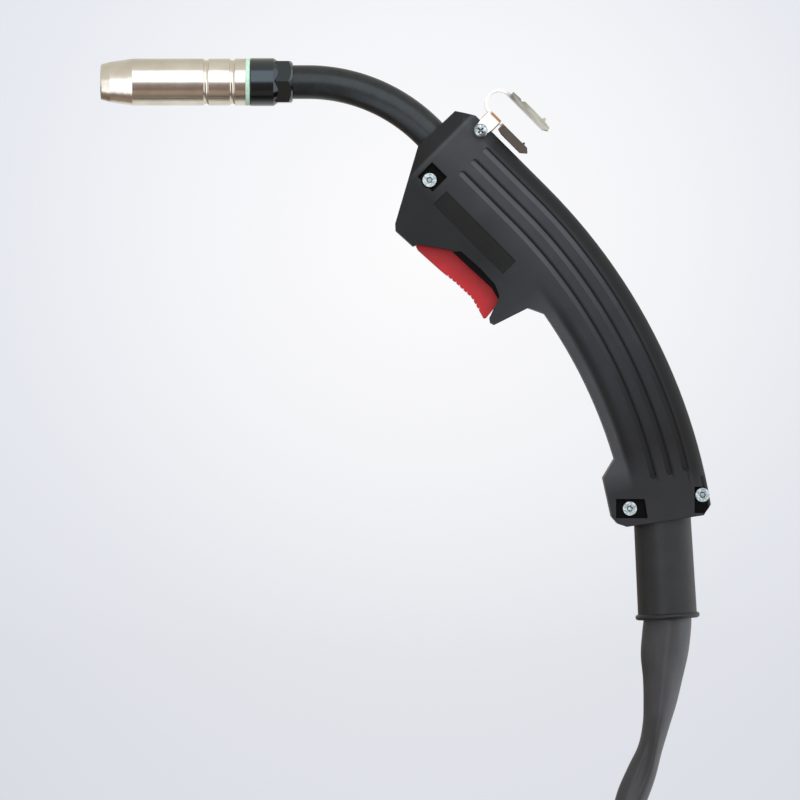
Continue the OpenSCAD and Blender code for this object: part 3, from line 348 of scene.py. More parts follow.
# ---- Neck collar, switch and union nut ----
# Glossy black phenolic moulding, screwed on behind the insulator, with a hexagon for a
# spanner. The switch's case and the plug's union nut are moulded in the same resin.
phenolic, tree, shader, place = new_material("glossy_black_phenolic", Roughness=0.15, IOR=1.6,
                                             Specular_Tint=rgb("#bfe0f6"),
                                             Coat_Weight=0.7, Coat_Roughness=0.06)
flow = add_node(tree, "ShaderNodeTexNoise", {"Vector": place, "Scale": 120, "Detail": 4})
shade = add_node(tree, "ShaderNodeValToRGB", {"Fac": flow.outputs["Fac"]})
shade.color_ramp.elements[0].color = rgb("#08090a")
shade.color_ramp.elements[1].color = rgb("#101112")
tree.links.new(shade.outputs["Color"], shader.inputs["Base Color"])
soft_edge = add_node(tree, "ShaderNodeBevel", {"Radius": 0.35 * MM}, samples=4)
bump = add_node(tree, "ShaderNodeBump", {"Height": flow.outputs["Fac"], "Strength": 0.05,
                                         "Distance": 0.1 * MM,
                                         "Normal": soft_edge.outputs["Normal"]})
tree.links.new(bump.outputs["Normal"], shader.inputs["Normal"])
finish_nodes(phenolic, "neck_collar", "switch_body", "plug_nut")


# ---- Insulated neck ----
# The copper tube is bent first, and then sheathed in black silicone rubber, which has a
# soft sheen and picks up dust.
sheath, tree, shader, place = new_material("black_silicone_sheath", Roughness=0.27, IOR=1.47,
                                           Specular_Tint=rgb("#e4eef4"))
dust = add_node(tree, "ShaderNodeTexNoise", {"Vector": place, "Scale": 220, "Detail": 6})
shade = add_node(tree, "ShaderNodeValToRGB", {"Fac": dust.outputs["Fac"]})
shade.color_ramp.elements[0].position = 0.35
shade.color_ramp.elements[0].color = rgb("#1b1e20")
shade.color_ramp.elements[1].position = 0.8
shade.color_ramp.elements[1].color = rgb("#282b2d")
tree.links.new(shade.outputs["Color"], shader.inputs["Base Color"])
grain = add_node(tree, "ShaderNodeTexNoise", {"Vector": place, "Scale": 2200, "Detail": 3})
bump = add_node(tree, "ShaderNodeBump", {"Height": grain.outputs["Fac"], "Strength": 0.12,
                                         "Distance": 0.08 * MM})
tree.links.new(bump.outputs["Normal"], shader.inputs["Normal"])
finish_nodes(sheath, "neck_sleeve")


# ---- Handle shells ----
# Two halves moulded in black glass-filled nylon and screwed together. The mould was spark
# eroded, so their faces are finely pebbled and matt. Light and shade are painted into their
# colour: the head end is painted lighter than the foot, the grooves' floors are painted lit
# near the head and shaded toward the foot, and the belly's edge has a painted highlight.
nylon, tree, shader, place = new_material("pebbled_black_nylon", Roughness=0.46, IOR=1.53,
                                          Specular_IOR_Level=0.2)
slope = add_node(tree, "ShaderNodeMapping",
                 {"Vector": place, "Rotation": (0, math.radians(-45), 0)})
slope = add_node(tree, "ShaderNodeSeparateXYZ", {"Vector": slope.outputs["Vector"]})
head_s, head_t = slope.outputs["X"], slope.outputs["Z"]
side = add_node(tree, "ShaderNodeSeparateXYZ", {"Vector": place}).outputs["Y"]
side = add_node(tree, "ShaderNodeMath", {0: side}, operation="ABSOLUTE").outputs[0]
# the run along the handle, straight down the head and then round the curved grip, and the
# radius from the grip's centre
grip_s, grip_t, grip_mid = 48.8 * MM, -316.7 * MM, 285 * MM
first_groove, groove_pitch = 275.2 * MM, 8.6 * MM
past = add_node(tree, "ShaderNodeMath", {0: head_s, 1: grip_s}, operation="SUBTRACT")
past = add_node(tree, "ShaderNodeMath", {0: past.outputs[0], 1: 0.0}, operation="MAXIMUM")
height = add_node(tree, "ShaderNodeMath", {0: head_t, 1: grip_t}, operation="SUBTRACT")
arm = add_node(tree, "ShaderNodeCombineXYZ", {"X": past.outputs[0], "Y": height.outputs[0]})
radius = add_node(tree, "ShaderNodeVectorMath", {0: arm.outputs[0]},
                  operation="LENGTH").outputs["Value"]
turned = add_node(tree, "ShaderNodeMath", {0: past.outputs[0], 1: height.outputs[0]},
                  operation="ARCTAN2")
run = add_node(tree, "ShaderNodeMath", {0: head_s, 1: grip_s}, operation="MINIMUM")
run = add_node(tree, "ShaderNodeMath", {0: turned.outputs[0], 1: grip_mid, 2: run.outputs[0]},
               operation="MULTIPLY_ADD").outputs[0]
# place across one groove and the land beside it
groove = add_node(tree, "ShaderNodeMath", {0: radius, 1: first_groove}, operation="SUBTRACT")
groove = add_node(tree, "ShaderNodeMath", {0: groove.outputs[0], 1: groove_pitch},
                  operation="MODULO").outputs[0]
# how far off each of the three screws' axes
flat = add_node(tree, "ShaderNodeVectorMath", {0: place, 1: (1, 0, 1)}, operation="MULTIPLY")
screws = [add_node(tree, "ShaderNodeVectorMath", {0: flat.outputs[0], 1: (x * MM, 0, z * MM)},
                   operation="DISTANCE").outputs["Value"]
          for x, z in ((-36.2, -40.2), (67.6, -210.3), (105.2, -203.3))]
# each zone: what is measured, where it begins and where it is full, in millimetres
zones = {
    "low": [(radius, 281, 255), (run, 100, 50)],
    "shoulder": [(radius, 295.8, 297.5), (run, 5, 14), (run, 218, 206)],
    "belly": [(radius, 266.2, 263.8), (run, 84, 104), (run, 210, 198)],
    "crease": [(radius, 263.8, 266), (radius, 270.6, 267.4), (run, 80, 112), (run, 205, 188)],
    "floor": [(side, 16.98, 16.9), (radius, 275, 275.3), (radius, 295.8, 295.5), (run, 10, 11),
              (groove, 2.9, 2.4), (run, 216, 210)],
    "line": [(radius, 277, 277.3), (radius, 297.4, 296.6), (groove, 2.3, 2.8),
             (groove, 4.6, 3.5), (run, 11, 13), (run, 209, 206)],
    "label": [(side, 16.85, 16.75), (head_s, 12.8, 13.2), (head_s, 64.5, 64.1),
              (head_t, -61.9, -61.5), (head_t, -51.6, -52)],
    "rim": [(side, 16.4, 16), (head_s, 36, 36.5), (head_s, 73, 72.6), (head_t, -75.4, -75),
            (head_t, -67.5, -67.9)],
    "pocket": [(screws[0], 9.8, 9.3), (side, 16.5, 16)],
    "foot_pocket": [(screws[1], 10.4, 9.8), (side, 16.5, 16)],
    "back_pocket": [(screws[2], 10.4, 9.8), (side, 14.2, 13.6)],
    "seam": [(side, 0.22, 0.1)]}
masks = {}
for zone, edges in zones.items():
    for value, begins, full in edges:
        edge = add_node(tree, "ShaderNodeMapRange", {"Value": value, "From Min": begins * MM,
                                                     "From Max": full * MM}).outputs[0]
        if zone in masks:
            edge = add_node(tree, "ShaderNodeMath", {0: masks[zone], 1: edge},
                            operation="MULTIPLY").outputs[0]
        masks[zone] = edge
# painted light and shade of the lands and of the grooves' floors along the run, in
# millimetres: a painted highlight at the head's end, then darker toward the foot
run_low, run_high = -20, 230
run_share = add_node(tree, "ShaderNodeMapRange", {"Value": run, "From Min": run_low * MM,
                                                  "From Max": run_high * MM}).outputs[0]
painted_land_light = add_node(tree, "ShaderNodeValToRGB", {"Fac": run_share})
painted_land_light.color_ramp.elements[0].color = rgb("#202124")
painted_land_light.color_ramp.elements[1].color = rgb("#27282c")
for at, code in ((-6.4, "#222326"), (-5.2, "#484c50"), (-3.4, "#3b3e42"), (49, "#36393e"),
                 (98, "#2d2f34"), (128, "#282a2f"), (158, "#222428"), (188, "#18191d"),
                 (206, "#232427")):
    painted_land_light.color_ramp.elements.new((at - run_low) / (run_high - run_low)).color = rgb(code)
painted_floor_light = add_node(tree, "ShaderNodeValToRGB", {"Fac": run_share})
painted_floor_light.color_ramp.elements[0].color = rgb("#4a4f55")
painted_floor_light.color_ramp.elements[1].color = rgb("#090a0b")
for at, code in ((70, "#454a50"), (98, "#3a3d43"), (128, "#292c31"), (158, "#131417"),
                 (190, "#090a0b")):
    painted_floor_light.color_ramp.elements.new((at - run_low) / (run_high - run_low)).color = rgb(code)
# the zones lie over the lands' tone one after another: low, shoulder and crease are painted
# shade, belly a painted highlight on the rounded edge, floor the grooves' painted light and
# shade, line a painted shadow beside each groove, rim and the pockets painted black shade; the
# label and the seam are the shells' own darker colour
tone = painted_land_light.outputs["Color"]
for zone, blend, code, share in (
        ("low", "MULTIPLY", "#868686", 1), ("shoulder", "MULTIPLY", "#808080", 1),
        ("belly", "MIX", "#3e3f43", 1), ("crease", "MULTIPLY", "#5a5a5a", 0.9),
        ("floor", "MIX", painted_floor_light.outputs["Color"], 1), ("line", "MIX", "#08090a", 0.85),
        ("label", "MULTIPLY", "#8c8c8c", 1), ("rim", "MIX", "#060607", 1),
        ("pocket", "MIX", "#040405", 1), ("foot_pocket", "MIX", "#040405", 1),
        ("back_pocket", "MIX", "#040405", 1), ("seam", "MIX", "#040405", 1)):
    part = add_node(tree, "ShaderNodeMath", {0: masks[zone], 1: share}, operation="MULTIPLY")
    layer = add_node(tree, "ShaderNodeMix", {"Factor": part.outputs[0], 6: tone,
                                             7: rgb(code) if isinstance(code, str) else code},
                     data_type="RGBA", blend_type=blend)
    tone = layer.outputs[2]
# the label's field is etched with a fine stipple
dots = add_node(tree, "ShaderNodeTexVoronoi", {"Vector": place, "Scale": 1100}, feature="F1")
dots = add_node(tree, "ShaderNodeMapRange", {"Value": dots.outputs["Distance"], "From Min": 0.2,
                                             "From Max": 0.6, "To Min": 0.75, "To Max": 0.0})
dots = add_node(tree, "ShaderNodeMath", {0: dots.outputs[0], 1: masks["label"]},
                operation="MULTIPLY")
layer = add_node(tree, "ShaderNodeMix", {"Factor": dots.outputs[0], 6: tone, 7: rgb("#060607")},
                 data_type="RGBA")
tone = layer.outputs[2]
cloud = add_node(tree, "ShaderNodeTexNoise", {"Vector": place, "Scale": 60, "Detail": 5})
shade = add_node(tree, "ShaderNodeValToRGB", {"Fac": cloud.outputs["Fac"]})
shade.color_ramp.elements[0].position = 0.3
shade.color_ramp.elements[0].color = (0.84, 0.84, 0.84, 1)
shade.color_ramp.elements[1].position = 0.75
shade.color_ramp.elements[1].color = (1.1, 1.1, 1.1, 1)
mixed = add_node(tree, "ShaderNodeMix", {"Factor": 1.0, 6: tone, 7: shade.outputs["Color"]},
                 data_type="RGBA", blend_type="MULTIPLY")
tree.links.new(mixed.outputs[2], shader.inputs["Base Color"])
# painted shade: the screws' pockets and the rim by the trigger are painted black and give back
# no light; the seam between the halves is a dark joint, black too
pocket_shade_and_seam = add_node(tree, "ShaderNodeMath", {0: masks["pocket"], 1: masks["foot_pocket"]},
                 operation="MAXIMUM")
for zone in ("back_pocket", "seam", "rim"):
    pocket_shade_and_seam = add_node(tree, "ShaderNodeMath", {0: pocket_shade_and_seam.outputs[0], 1: masks[zone]},
                     operation="MAXIMUM")
pocket_shade_and_seam = add_node(tree, "ShaderNodeMath", {0: pocket_shade_and_seam.outputs[0], 1: 0.7}, operation="MULTIPLY")
tree.links.new(pocket_shade_and_seam.outputs[0], shader.inputs["Metallic"])
soft_edge = add_node(tree, "ShaderNodeBevel", {"Radius": 0.5 * MM}, samples=4)
pebble = add_node(tree, "ShaderNodeTexNoise", {"Vector": place, "Scale": 2600, "Detail": 2})
bump = add_node(tree, "ShaderNodeBump", {"Height": pebble.outputs["Fac"], "Strength": 0.25,
                                         "Distance": 0.1 * MM,
                                         "Normal": soft_edge.outputs["Normal"]})
tree.links.new(bump.outputs["Normal"], shader.inputs["Normal"])
finish_nodes(nylon, "left_shell", "right_shell")

# the plug's halves are moulded in the same nylon
plug_nylon, tree, shader, place = new_material("moulded_black_nylon", Roughness=0.46, IOR=1.53,
                                               Specular_IOR_Level=0.2)
cloud = add_node(tree, "ShaderNodeTexNoise", {"Vector": place, "Scale": 60, "Detail": 5})
shade = add_node(tree, "ShaderNodeValToRGB", {"Fac": cloud.outputs["Fac"]})
shade.color_ramp.elements[0].position = 0.3
shade.color_ramp.elements[0].color = rgb("#1d1e21")
shade.color_ramp.elements[1].position = 0.75
shade.color_ramp.elements[1].color = rgb("#26272a")
tree.links.new(shade.outputs["Color"], shader.inputs["Base Color"])
soft_edge = add_node(tree, "ShaderNodeBevel", {"Radius": 0.5 * MM}, samples=4)
pebble = add_node(tree, "ShaderNodeTexNoise", {"Vector": place, "Scale": 2600, "Detail": 2})
bump = add_node(tree, "ShaderNodeBump", {"Height": pebble.outputs["Fac"], "Strength": 0.25,
                                         "Distance": 0.1 * MM,
                                         "Normal": soft_edge.outputs["Normal"]})
tree.links.new(bump.outputs["Normal"], shader.inputs["Normal"])
finish_nodes(plug_nylon, "plug_housing")


# ---- Screws and nuts ----
# Small steel machine screws, cold headed, with a cross or hexagon recess, and zinc plated
# with a bluish passivation. The shade in their recesses and under their heads is painted in.
zinc, tree, shader, place = new_material("blue_zinc_plate", Metallic=1, Roughness=0.3)
spangle = add_node(tree, "ShaderNodeTexNoise", {"Vector": place, "Scale": 900, "Detail": 3})
shade = add_node(tree, "ShaderNodeValToRGB", {"Fac": spangle.outputs["Fac"]})
shade.color_ramp.elements[0].position = 0.38
shade.color_ramp.elements[0].color = rgb("#7f8c92")
shade.color_ramp.elements[1].position = 0.62
shade.color_ramp.elements[1].color = rgb("#c6d1d4")
# painted shade: the more a spot is hemmed in by nearby surfaces, the darker its colour
hollow = add_node(tree, "ShaderNodeAmbientOcclusion", {"Distance": 1.3 * MM}, samples=8)
recess = add_node(tree, "ShaderNodeValToRGB", {"Fac": hollow.outputs["AO"]})
recess.color_ramp.elements[0].position = 0.45
recess.color_ramp.elements[0].color = rgb("#2c3033")
recess.color_ramp.elements[1].position = 0.92
recess.color_ramp.elements[1].color = (1, 1, 1, 1)
mixed = add_node(tree, "ShaderNodeMix", {"Factor": 1.0, 6: shade.outputs["Color"],
                                         7: recess.outputs["Color"]},
                 data_type="RGBA", blend_type="MULTIPLY")
tree.links.new(mixed.outputs[2], shader.inputs["Base Color"])
soft_edge = add_node(tree, "ShaderNodeBevel", {"Radius": 0.35 * MM}, samples=4)
tree.links.new(soft_edge.outputs["Normal"], shader.inputs["Normal"])
finish_nodes(zinc, "handle_screws", "handle_nuts", "hook_screws", "plug_screws")


# ---- Hanging hook ----
# Pressed from one strip of spring steel, folded to a channel along both arms, bent round
# and bright nickel plated. Its strap sits over the handle, held by a screw on each side.
hook_plate, tree, shader, place = new_material("bright_nickel_sheet", Metallic=1, Roughness=0.22)
rolled = add_node(tree, "ShaderNodeTexNoise", {"Vector": place, "Scale": 160, "Detail": 3})
shade = add_node(tree, "ShaderNodeValToRGB", {"Fac": rolled.outputs["Fac"]})
shade.color_ramp.elements[0].position = 0.3
shade.color_ramp.elements[0].color = rgb("#e2e0da")
shade.color_ramp.elements[1].position = 0.7
shade.color_ramp.elements[1].color = rgb("#efeee9")
# painted reflection: the lower arm is painted dark, standing in for the black handle mirrored
# in it, with an amber band where the dark fades in; the upper arm is worn dull
slope = add_node(tree, "ShaderNodeMapping",
                 {"Vector": place, "Rotation": (0, math.radians(-45), 0)})
streaks = add_node(tree, "ShaderNodeMapping", {"Vector": slope.outputs["Vector"],
                                               "Scale": (0.2, 1, 1)})
slope = add_node(tree, "ShaderNodeSeparateXYZ", {"Vector": slope.outputs["Vector"]})
along = add_node(tree, "ShaderNodeMapRange", {"Value": slope.outputs["X"], "From Min": 8 * MM,
                                              "From Max": 9.6 * MM})
below = add_node(tree, "ShaderNodeMapRange", {"Value": slope.outputs["Z"], "From Min": -4 * MM,
                                              "From Max": -5 * MM})
lower_arm_mask = add_node(tree, "ShaderNodeMath", {0: along.outputs[0], 1: below.outputs[0]},
                operation="MULTIPLY")
painted_dark_lower_arm = add_node(tree, "ShaderNodeValToRGB", {"Fac": lower_arm_mask.outputs[0]})
painted_dark_lower_arm.color_ramp.elements[0].color = (1, 1, 1, 1)
painted_dark_lower_arm.color_ramp.elements[1].color = rgb("#544e4b")
painted_dark_lower_arm.color_ramp.elements.new(0.45).color = rgb("#b98a62")
above = add_node(tree, "ShaderNodeMapRange", {"Value": slope.outputs["Z"], "From Min": 5.6 * MM,
                                              "From Max": 6.4 * MM})
dull = add_node(tree, "ShaderNodeMapRange", {"Value": slope.outputs["X"], "From Min": -3 * MM,
                                             "From Max": 2 * MM})
dull = add_node(tree, "ShaderNodeMath", {0: above.outputs[0], 1: dull.outputs[0]},
                operation="MULTIPLY")
# the wear runs in streaks along the arm, darkest by the bend
streaks = add_node(tree, "ShaderNodeTexNoise", {"Vector": streaks.outputs["Vector"],
                                                "Scale": 620, "Detail": 3})
fading = add_node(tree, "ShaderNodeMapRange", {"Value": slope.outputs["X"], "From Max": 20 * MM,
                                               "To Max": 0.4})
fading = add_node(tree, "ShaderNodeMath", {0: streaks.outputs["Fac"], 1: 0.6,
                                           2: fading.outputs[0]}, operation="MULTIPLY_ADD")
wear = add_node(tree, "ShaderNodeValToRGB", {"Fac": fading.outputs[0]})
wear.color_ramp.elements[0].position = 0.28
wear.color_ramp.elements[0].color = rgb("#6f6a66")
wear.color_ramp.elements[1].position = 0.72
wear.color_ramp.elements[1].color = rgb("#b4b3ab")
painted_dark_and_worn = add_node(tree, "ShaderNodeMix", {"Factor": dull.outputs[0], 6: painted_dark_lower_arm.outputs["Color"],
                                        7: wear.outputs["Color"]}, data_type="RGBA")
# heat tint along the strap's fold and along its front edge
fold = None
for axis, begins, full in (("Z", -8.1, -7.2), ("Z", -5.4, -6.2), ("X", -0.9, 1.5), ("X", 10, 9)):
    edge = add_node(tree, "ShaderNodeMapRange",
                    {"Value": slope.outputs[axis], "From Min": begins * MM,
                     "From Max": full * MM})
    fold = edge if fold is None else add_node(
        tree, "ShaderNodeMath", {0: fold.outputs[0], 1: edge.outputs[0]}, operation="MULTIPLY")
front_edge = add_node(tree, "ShaderNodeMapRange", {"Value": slope.outputs["X"],
                                                   "From Min": -0.3 * MM, "From Max": -0.8 * MM})
behind = add_node(tree, "ShaderNodeMapRange", {"Value": slope.outputs["Z"], "From Min": -6 * MM,
                                               "From Max": -8 * MM})
front_edge = add_node(tree, "ShaderNodeMath", {0: front_edge.outputs[0], 1: behind.outputs[0]},
                      operation="MULTIPLY")
tint = add_node(tree, "ShaderNodeMath", {0: fold.outputs[0], 1: front_edge.outputs[0]},
                operation="MAXIMUM")
# only the two ears' outer faces took the tint
outer = add_node(tree, "ShaderNodeSeparateXYZ", {"Vector": place}).outputs["Y"]
outer = add_node(tree, "ShaderNodeMath", {0: outer}, operation="ABSOLUTE")
outer = add_node(tree, "ShaderNodeMapRange", {"Value": outer.outputs[0], "From Min": 17.6 * MM,
                                              "From Max": 18.3 * MM})
tint = add_node(tree, "ShaderNodeMath", {0: tint.outputs[0], 1: outer.outputs[0]},
                operation="MULTIPLY")
tinted = add_node(tree, "ShaderNodeMix", {"Factor": tint.outputs[0], 6: painted_dark_and_worn.outputs[2],
                                          7: rgb("#a1785a")}, data_type="RGBA")
tone = add_node(tree, "ShaderNodeMix", {"Factor": 1.0, 6: shade.outputs["Color"],
                                        7: tinted.outputs[2]},
                data_type="RGBA", blend_type="MULTIPLY")
tree.links.new(tone.outputs[2], shader.inputs["Base Color"])
soft_edge = add_node(tree, "ShaderNodeBevel", {"Radius": 0.3 * MM}, samples=4)
tree.links.new(soft_edge.outputs["Normal"], shader.inputs["Normal"])
finish_nodes(hook_plate, "hook")


# ---- Trigger and switch plunger ----
# Moulded in red ABS, with small grip teeth under the finger. Satin from the mould.
red_abs, tree, shader, place = new_material("red_abs", Roughness=0.36, IOR=1.54,
                                            Specular_IOR_Level=0.3)
flow = add_node(tree, "ShaderNodeTexNoise", {"Vector": place, "Scale": 150, "Detail": 3})
shade = add_node(tree, "ShaderNodeValToRGB", {"Fac": flow.outputs["Fac"]})
shade.color_ramp.elements[0].position = 0.3
shade.color_ramp.elements[0].color = rgb("#b5101c")
shade.color_ramp.elements[1].position = 0.7
shade.color_ramp.elements[1].color = rgb("#c31722")
tree.links.new(shade.outputs["Color"], shader.inputs["Base Color"])
soft_edge = add_node(tree, "ShaderNodeBevel", {"Radius": 0.4 * MM}, samples=4)
grain = add_node(tree, "ShaderNodeTexNoise", {"Vector": place, "Scale": 1800, "Detail": 2})
bump = add_node(tree, "ShaderNodeBump", {"Height": grain.outputs["Fac"], "Strength": 0.1,
                                         "Distance": 0.06 * MM,
                                         "Normal": soft_edge.outputs["Normal"]})
tree.links.new(bump.outputs["Normal"], shader.inputs["Normal"])
finish_nodes(red_abs, "trigger", "switch_plunger")


# ---- Cable and leads inside the handle ----
# The cable's end is clamped in the terminal, and two thin red PVC leads run beside it to
# the switch.
finish_nodes(cable_rubber, "inner_cable")

lead_pvc, tree, shader, place = new_material("red_pvc_lead", Roughness=0.4, IOR=1.52)
flow = add_node(tree, "ShaderNodeTexNoise", {"Vector": place, "Scale": 300, "Detail": 3})
shade = add_node(tree, "ShaderNodeValToRGB", {"Fac": flow.outputs["Fac"]})
shade.color_ramp.elements[0].color = rgb("#8f1a1a")
shade.color_ramp.elements[1].color = rgb("#a82824")
tree.links.new(shade.outputs["Color"], shader.inputs["Base Color"])
finish_nodes(lead_pvc, "switch_leads")


# ---- Boot and plug support ----
# Soft black rubber, moulded in one piece with a rolled rim. It is held between the shells
# by a groove round its root, and takes the bending where the cable comes out.
boot_rubber, tree, shader, place = new_material("moulded_soft_rubber", Roughness=0.38, IOR=1.52,
                                                Specular_IOR_Level=0.3)
cloud = add_node(tree, "ShaderNodeTexNoise", {"Vector": place, "Scale": 110, "Detail": 5})
shade = add_node(tree, "ShaderNodeValToRGB", {"Fac": cloud.outputs["Fac"]})
shade.color_ramp.elements[0].position = 0.3
shade.color_ramp.elements[0].color = rgb("#1c1d1f")
shade.color_ramp.elements[1].position = 0.75
shade.color_ramp.elements[1].color = rgb("#242528")
tree.links.new(shade.outputs["Color"], shader.inputs["Base Color"])
grain = add_node(tree, "ShaderNodeTexNoise", {"Vector": place, "Scale": 1900, "Detail": 3})
bump = add_node(tree, "ShaderNodeBump", {"Height": grain.outputs["Fac"], "Strength": 0.15,
                                         "Distance": 0.1 * MM})
tree.links.new(bump.outputs["Normal"], shader.inputs["Normal"])
finish_nodes(boot_rubber, "boot", "plug_support")

seal, tree, shader, place = new_material("nitrile_seal", Roughness=0.35, IOR=1.5)
film = add_node(tree, "ShaderNodeTexNoise", {"Vector": place, "Scale": 900, "Detail": 3})
shade = add_node(tree, "ShaderNodeValToRGB", {"Fac": film.outputs["Fac"]})
shade.color_ramp.elements[0].color = rgb("#0c0c0d")
shade.color_ramp.elements[1].color = rgb("#19191a")
tree.links.new(shade.outputs["Color"], shader.inputs["Base Color"])
finish_nodes(seal, "plug_o_ring")


# ---- Floor, backdrop and light ----
# A round studio sweep: a pale paper floor that curves up into a wall with no edge. Soft
# panels light the torch from the front, above and the right; dark cards shape the gloss.
flat_r, bend_r, wall_top = 5.0, 3.0, 6.0
profile = [(1, 0), (2.5, 0), (flat_r, 0)]
profile += [(flat_r + bend_r * math.sin(math.radians(a)), bend_r * (1 - math.cos(math.radians(a))))
            for a in range(5, 91, 5)]
profile += [(flat_r + bend_r, wall_top)]
sweep = bmesh.new()
centre = sweep.verts.new((0, 0, floor_z * MM))
segments = 96
last = None
for r, z in profile:
    row = [sweep.verts.new((r * math.cos(k * 2 * math.pi / segments),
                            r * math.sin(k * 2 * math.pi / segments), z + floor_z * MM))
           for k in range(segments)]
    for k in range(segments):
        m = (k + 1) % segments
        sweep.faces.new((centre, row[k], row[m]) if last is None
                        else (last[k], row[k], row[m], last[m]))
    last = row
mesh = bpy.data.meshes.new("studio_sweep")
sweep.to_mesh(mesh)
sweep.free()
mesh.shade_smooth()
studio = bpy.data.objects.new("studio_sweep", mesh)
scene.collection.objects.link(studio)
# The paper glows partly by itself, and its tone is a painted pool of light, falling off from a
# bright place behind the torch. It casts no light or reflection on the torch: the panels and
# cards below do that.
paper, tree, shader, place = new_material("backdrop_paper", Roughness=1, Specular_IOR_Level=0)
bright_place, fall_off = (0.0039, 0.0195, 0), 0.1
spot = add_node(tree, "ShaderNodeSeparateXYZ", {"Vector": place})
depth = add_node(tree, "ShaderNodeMath", {0: spot.outputs["Y"], 1: camera_away}, operation="ADD")
across = add_node(tree, "ShaderNodeMath", {0: spot.outputs["X"], 1: frame_x},
                  operation="SUBTRACT")
up = add_node(tree, "ShaderNodeMath", {0: spot.outputs["Z"], 1: frame_z},
              operation="SUBTRACT")
across = add_node(tree, "ShaderNodeMath", {0: across.outputs[0], 1: depth.outputs[0]},
                  operation="DIVIDE")
up = add_node(tree, "ShaderNodeMath", {0: up.outputs[0], 1: depth.outputs[0]}, operation="DIVIDE")
seen = add_node(tree, "ShaderNodeCombineXYZ", {"X": across.outputs[0], "Y": up.outputs[0]})
middle = add_node(tree, "ShaderNodeVectorMath", {0: seen.outputs[0], 1: bright_place},
                  operation="DISTANCE")
reach = add_node(tree, "ShaderNodeMath", {0: middle.outputs["Value"], 1: fall_off},
                 operation="DIVIDE")
tone = add_node(tree, "ShaderNodeValToRGB", {"Fac": reach.outputs[0]})
ramp = tone.color_ramp
ramp.elements[0].color = rgb("#f7f7f9")
ramp.elements[1].position = 0.9
ramp.elements[1].color = rgb("#d8dbe4")
for where, code in ((0.31, "#eeeff3"), (0.45, "#e7e9ef"), (0.56, "#e1e4eb")):
    ramp.elements.new(where).color = rgb(code)
shade = add_node(tree, "ShaderNodeVectorMath", {0: tone.outputs["Color"], "Scale": 0.3},
                 operation="SCALE")
tree.links.new(shade.outputs["Vector"], shader.inputs["Base Color"])
tree.links.new(tone.outputs["Color"], shader.inputs["Emission Color"])
shader.inputs["Emission Strength"].default_value = 0.735
studio.data.materials.append(paper)
studio.visible_diffuse = studio.visible_glossy = studio.visible_shadow = False

# Light from all round, as large panels and cards give it: white in front and above the
# torch, warm grey overhead, a dark floor card in front below, and light again behind.
world = bpy.data.worlds.new("studio_light")
world.use_nodes = True
tree = world.node_tree
way = add_node(tree, "ShaderNodeTexCoord").outputs["Generated"]
way = add_node(tree, "ShaderNodeSeparateXYZ", {"Vector": way})
back = add_node(tree, "ShaderNodeMath", {0: way.outputs["Y"], 1: -1}, operation="MULTIPLY")
lift = add_node(tree, "ShaderNodeMath", {0: way.outputs["Z"], 1: back.outputs[0]},
                operation="ARCTAN2")
# the front panel hangs aslant: toward the left it is longer and hangs lower
stretch, drop = -0.316, math.radians(46.6)
slant = add_node(tree, "ShaderNodeMapRange", {"Value": way.outputs["X"], "From Min": -0.1,
                                              "From Max": -0.3})
flatter = add_node(tree, "ShaderNodeMath", {0: slant.outputs[0], 1: stretch, 2: 1},
                   operation="MULTIPLY_ADD")
lift = add_node(tree, "ShaderNodeMath", {0: lift.outputs[0], 1: flatter.outputs[0]},
                operation="MULTIPLY")
lift = add_node(tree, "ShaderNodeMath", {0: slant.outputs[0], 1: drop, 2: lift.outputs[0]},
                operation="MULTIPLY_ADD")
turn = add_node(tree, "ShaderNodeMapRange", {"Value": lift.outputs[0], "From Min": -math.pi,
                                             "From Max": math.pi})
panels = add_node(tree, "ShaderNodeValToRGB", {"Fac": turn.outputs[0]})
ramp = panels.color_ramp
ramp.elements[0].color = (0.8, 0.8, 0.78, 1)
ramp.elements[1].color = (0.7, 0.68, 0.62, 1)
for degrees, tint in ((-112, (0.75, 0.73, 0.68, 1)), (-102, (0.36, 0.33, 0.27, 1)),
                      (-84, (0.3, 0.26, 0.21, 1)), (-78, (0.17, 0.14, 0.115, 1)),
                      (-66, (0.3, 0.24, 0.19, 1)), (-50, (0.36, 0.27, 0.21, 1)),
                      (-38, (0.19, 0.13, 0.11, 1)), (-10, (0.26, 0.2, 0.175, 1)),
                      (-3, (0.62, 0.6, 0.57, 1)), (52, (0.72, 0.7, 0.66, 1)),
                      (66, (0.76, 0.73, 0.66, 1)), (120, (0.64, 0.61, 0.54, 1))):
    ramp.elements.new((degrees + 180) / 360).color = tint
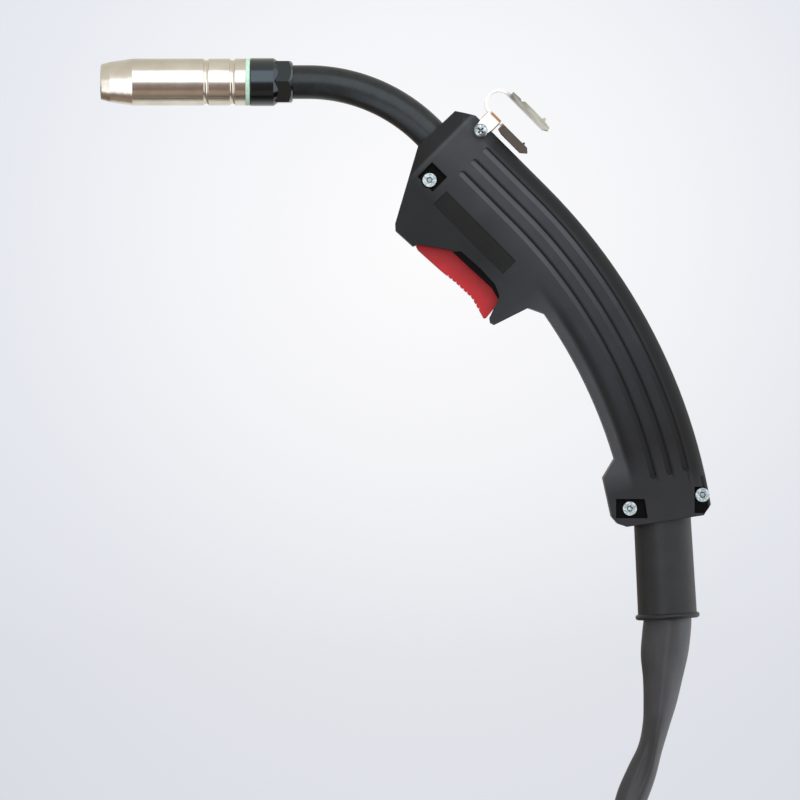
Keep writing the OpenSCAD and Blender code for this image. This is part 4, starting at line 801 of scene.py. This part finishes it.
# the front panel itself, between its lower and upper edge and right of its left side
low_edge = add_node(tree, "ShaderNodeMapRange",
                    {"Value": lift.outputs[0], "From Min": math.radians(-4),
                     "From Max": math.radians(3)})
high_edge = add_node(tree, "ShaderNodeMapRange",
                     {"Value": lift.outputs[0], "From Min": math.radians(60),
                      "From Max": math.radians(50)})
left_side = add_node(tree, "ShaderNodeMapRange", {"Value": way.outputs["X"], "From Min": -0.65,
                                                  "From Max": -0.35})
panel = add_node(tree, "ShaderNodeMath", {0: low_edge.outputs[0], 1: high_edge.outputs[0]},
                 operation="MULTIPLY")
panel = add_node(tree, "ShaderNodeMath", {0: panel.outputs[0], 1: left_side.outputs[0]},
                 operation="MULTIPLY")
front = add_node(tree, "ShaderNodeMix", {"Factor": panel.outputs[0], 6: panels.outputs["Color"],
                                         7: (1.95, 1.98, 2.02, 1)}, data_type="RGBA")
# a panel at the right
right = add_node(tree, "ShaderNodeMapRange", {"Value": way.outputs["X"], "From Min": 0.7,
                                              "From Max": 0.85}, interpolation_type="SMOOTHSTEP")
light = add_node(tree, "ShaderNodeMix", {"Factor": right.outputs[0], 6: front.outputs[2],
                                         7: (1.4, 1.42, 1.46, 1)}, data_type="RGBA")
air = tree.nodes["Background"]
tree.links.new(light.outputs[2], air.inputs["Color"])
air.inputs["Strength"].default_value = 1.0
scene.world = world


def soft_lamp(name, place, target, size, power):
    """A soft lamp that faces a point of the torch. It lights, but isn't mirrored."""
    lamp = bpy.data.lights.new(name, "AREA")
    lamp.shape = "RECTANGLE"
    lamp.size, lamp.size_y = size
    lamp.energy = power
    made = bpy.data.objects.new(name, lamp)
    made.location = place
    made.rotation_euler = (Vector(target) - made.location).to_track_quat("-Z", "Y").to_euler()
    made.visible_glossy = False
    scene.collection.objects.link(made)


soft_lamp("top_lamp", place=(-0.3, -0.6, 2.2), target=(0, 0, -0.2), size=(1.6, 1.2), power=8)
soft_lamp("head_lamp", place=(0.15, -0.6, 0.3), target=(0, 0, -0.08), size=(0.3, 0.3), power=0.6)
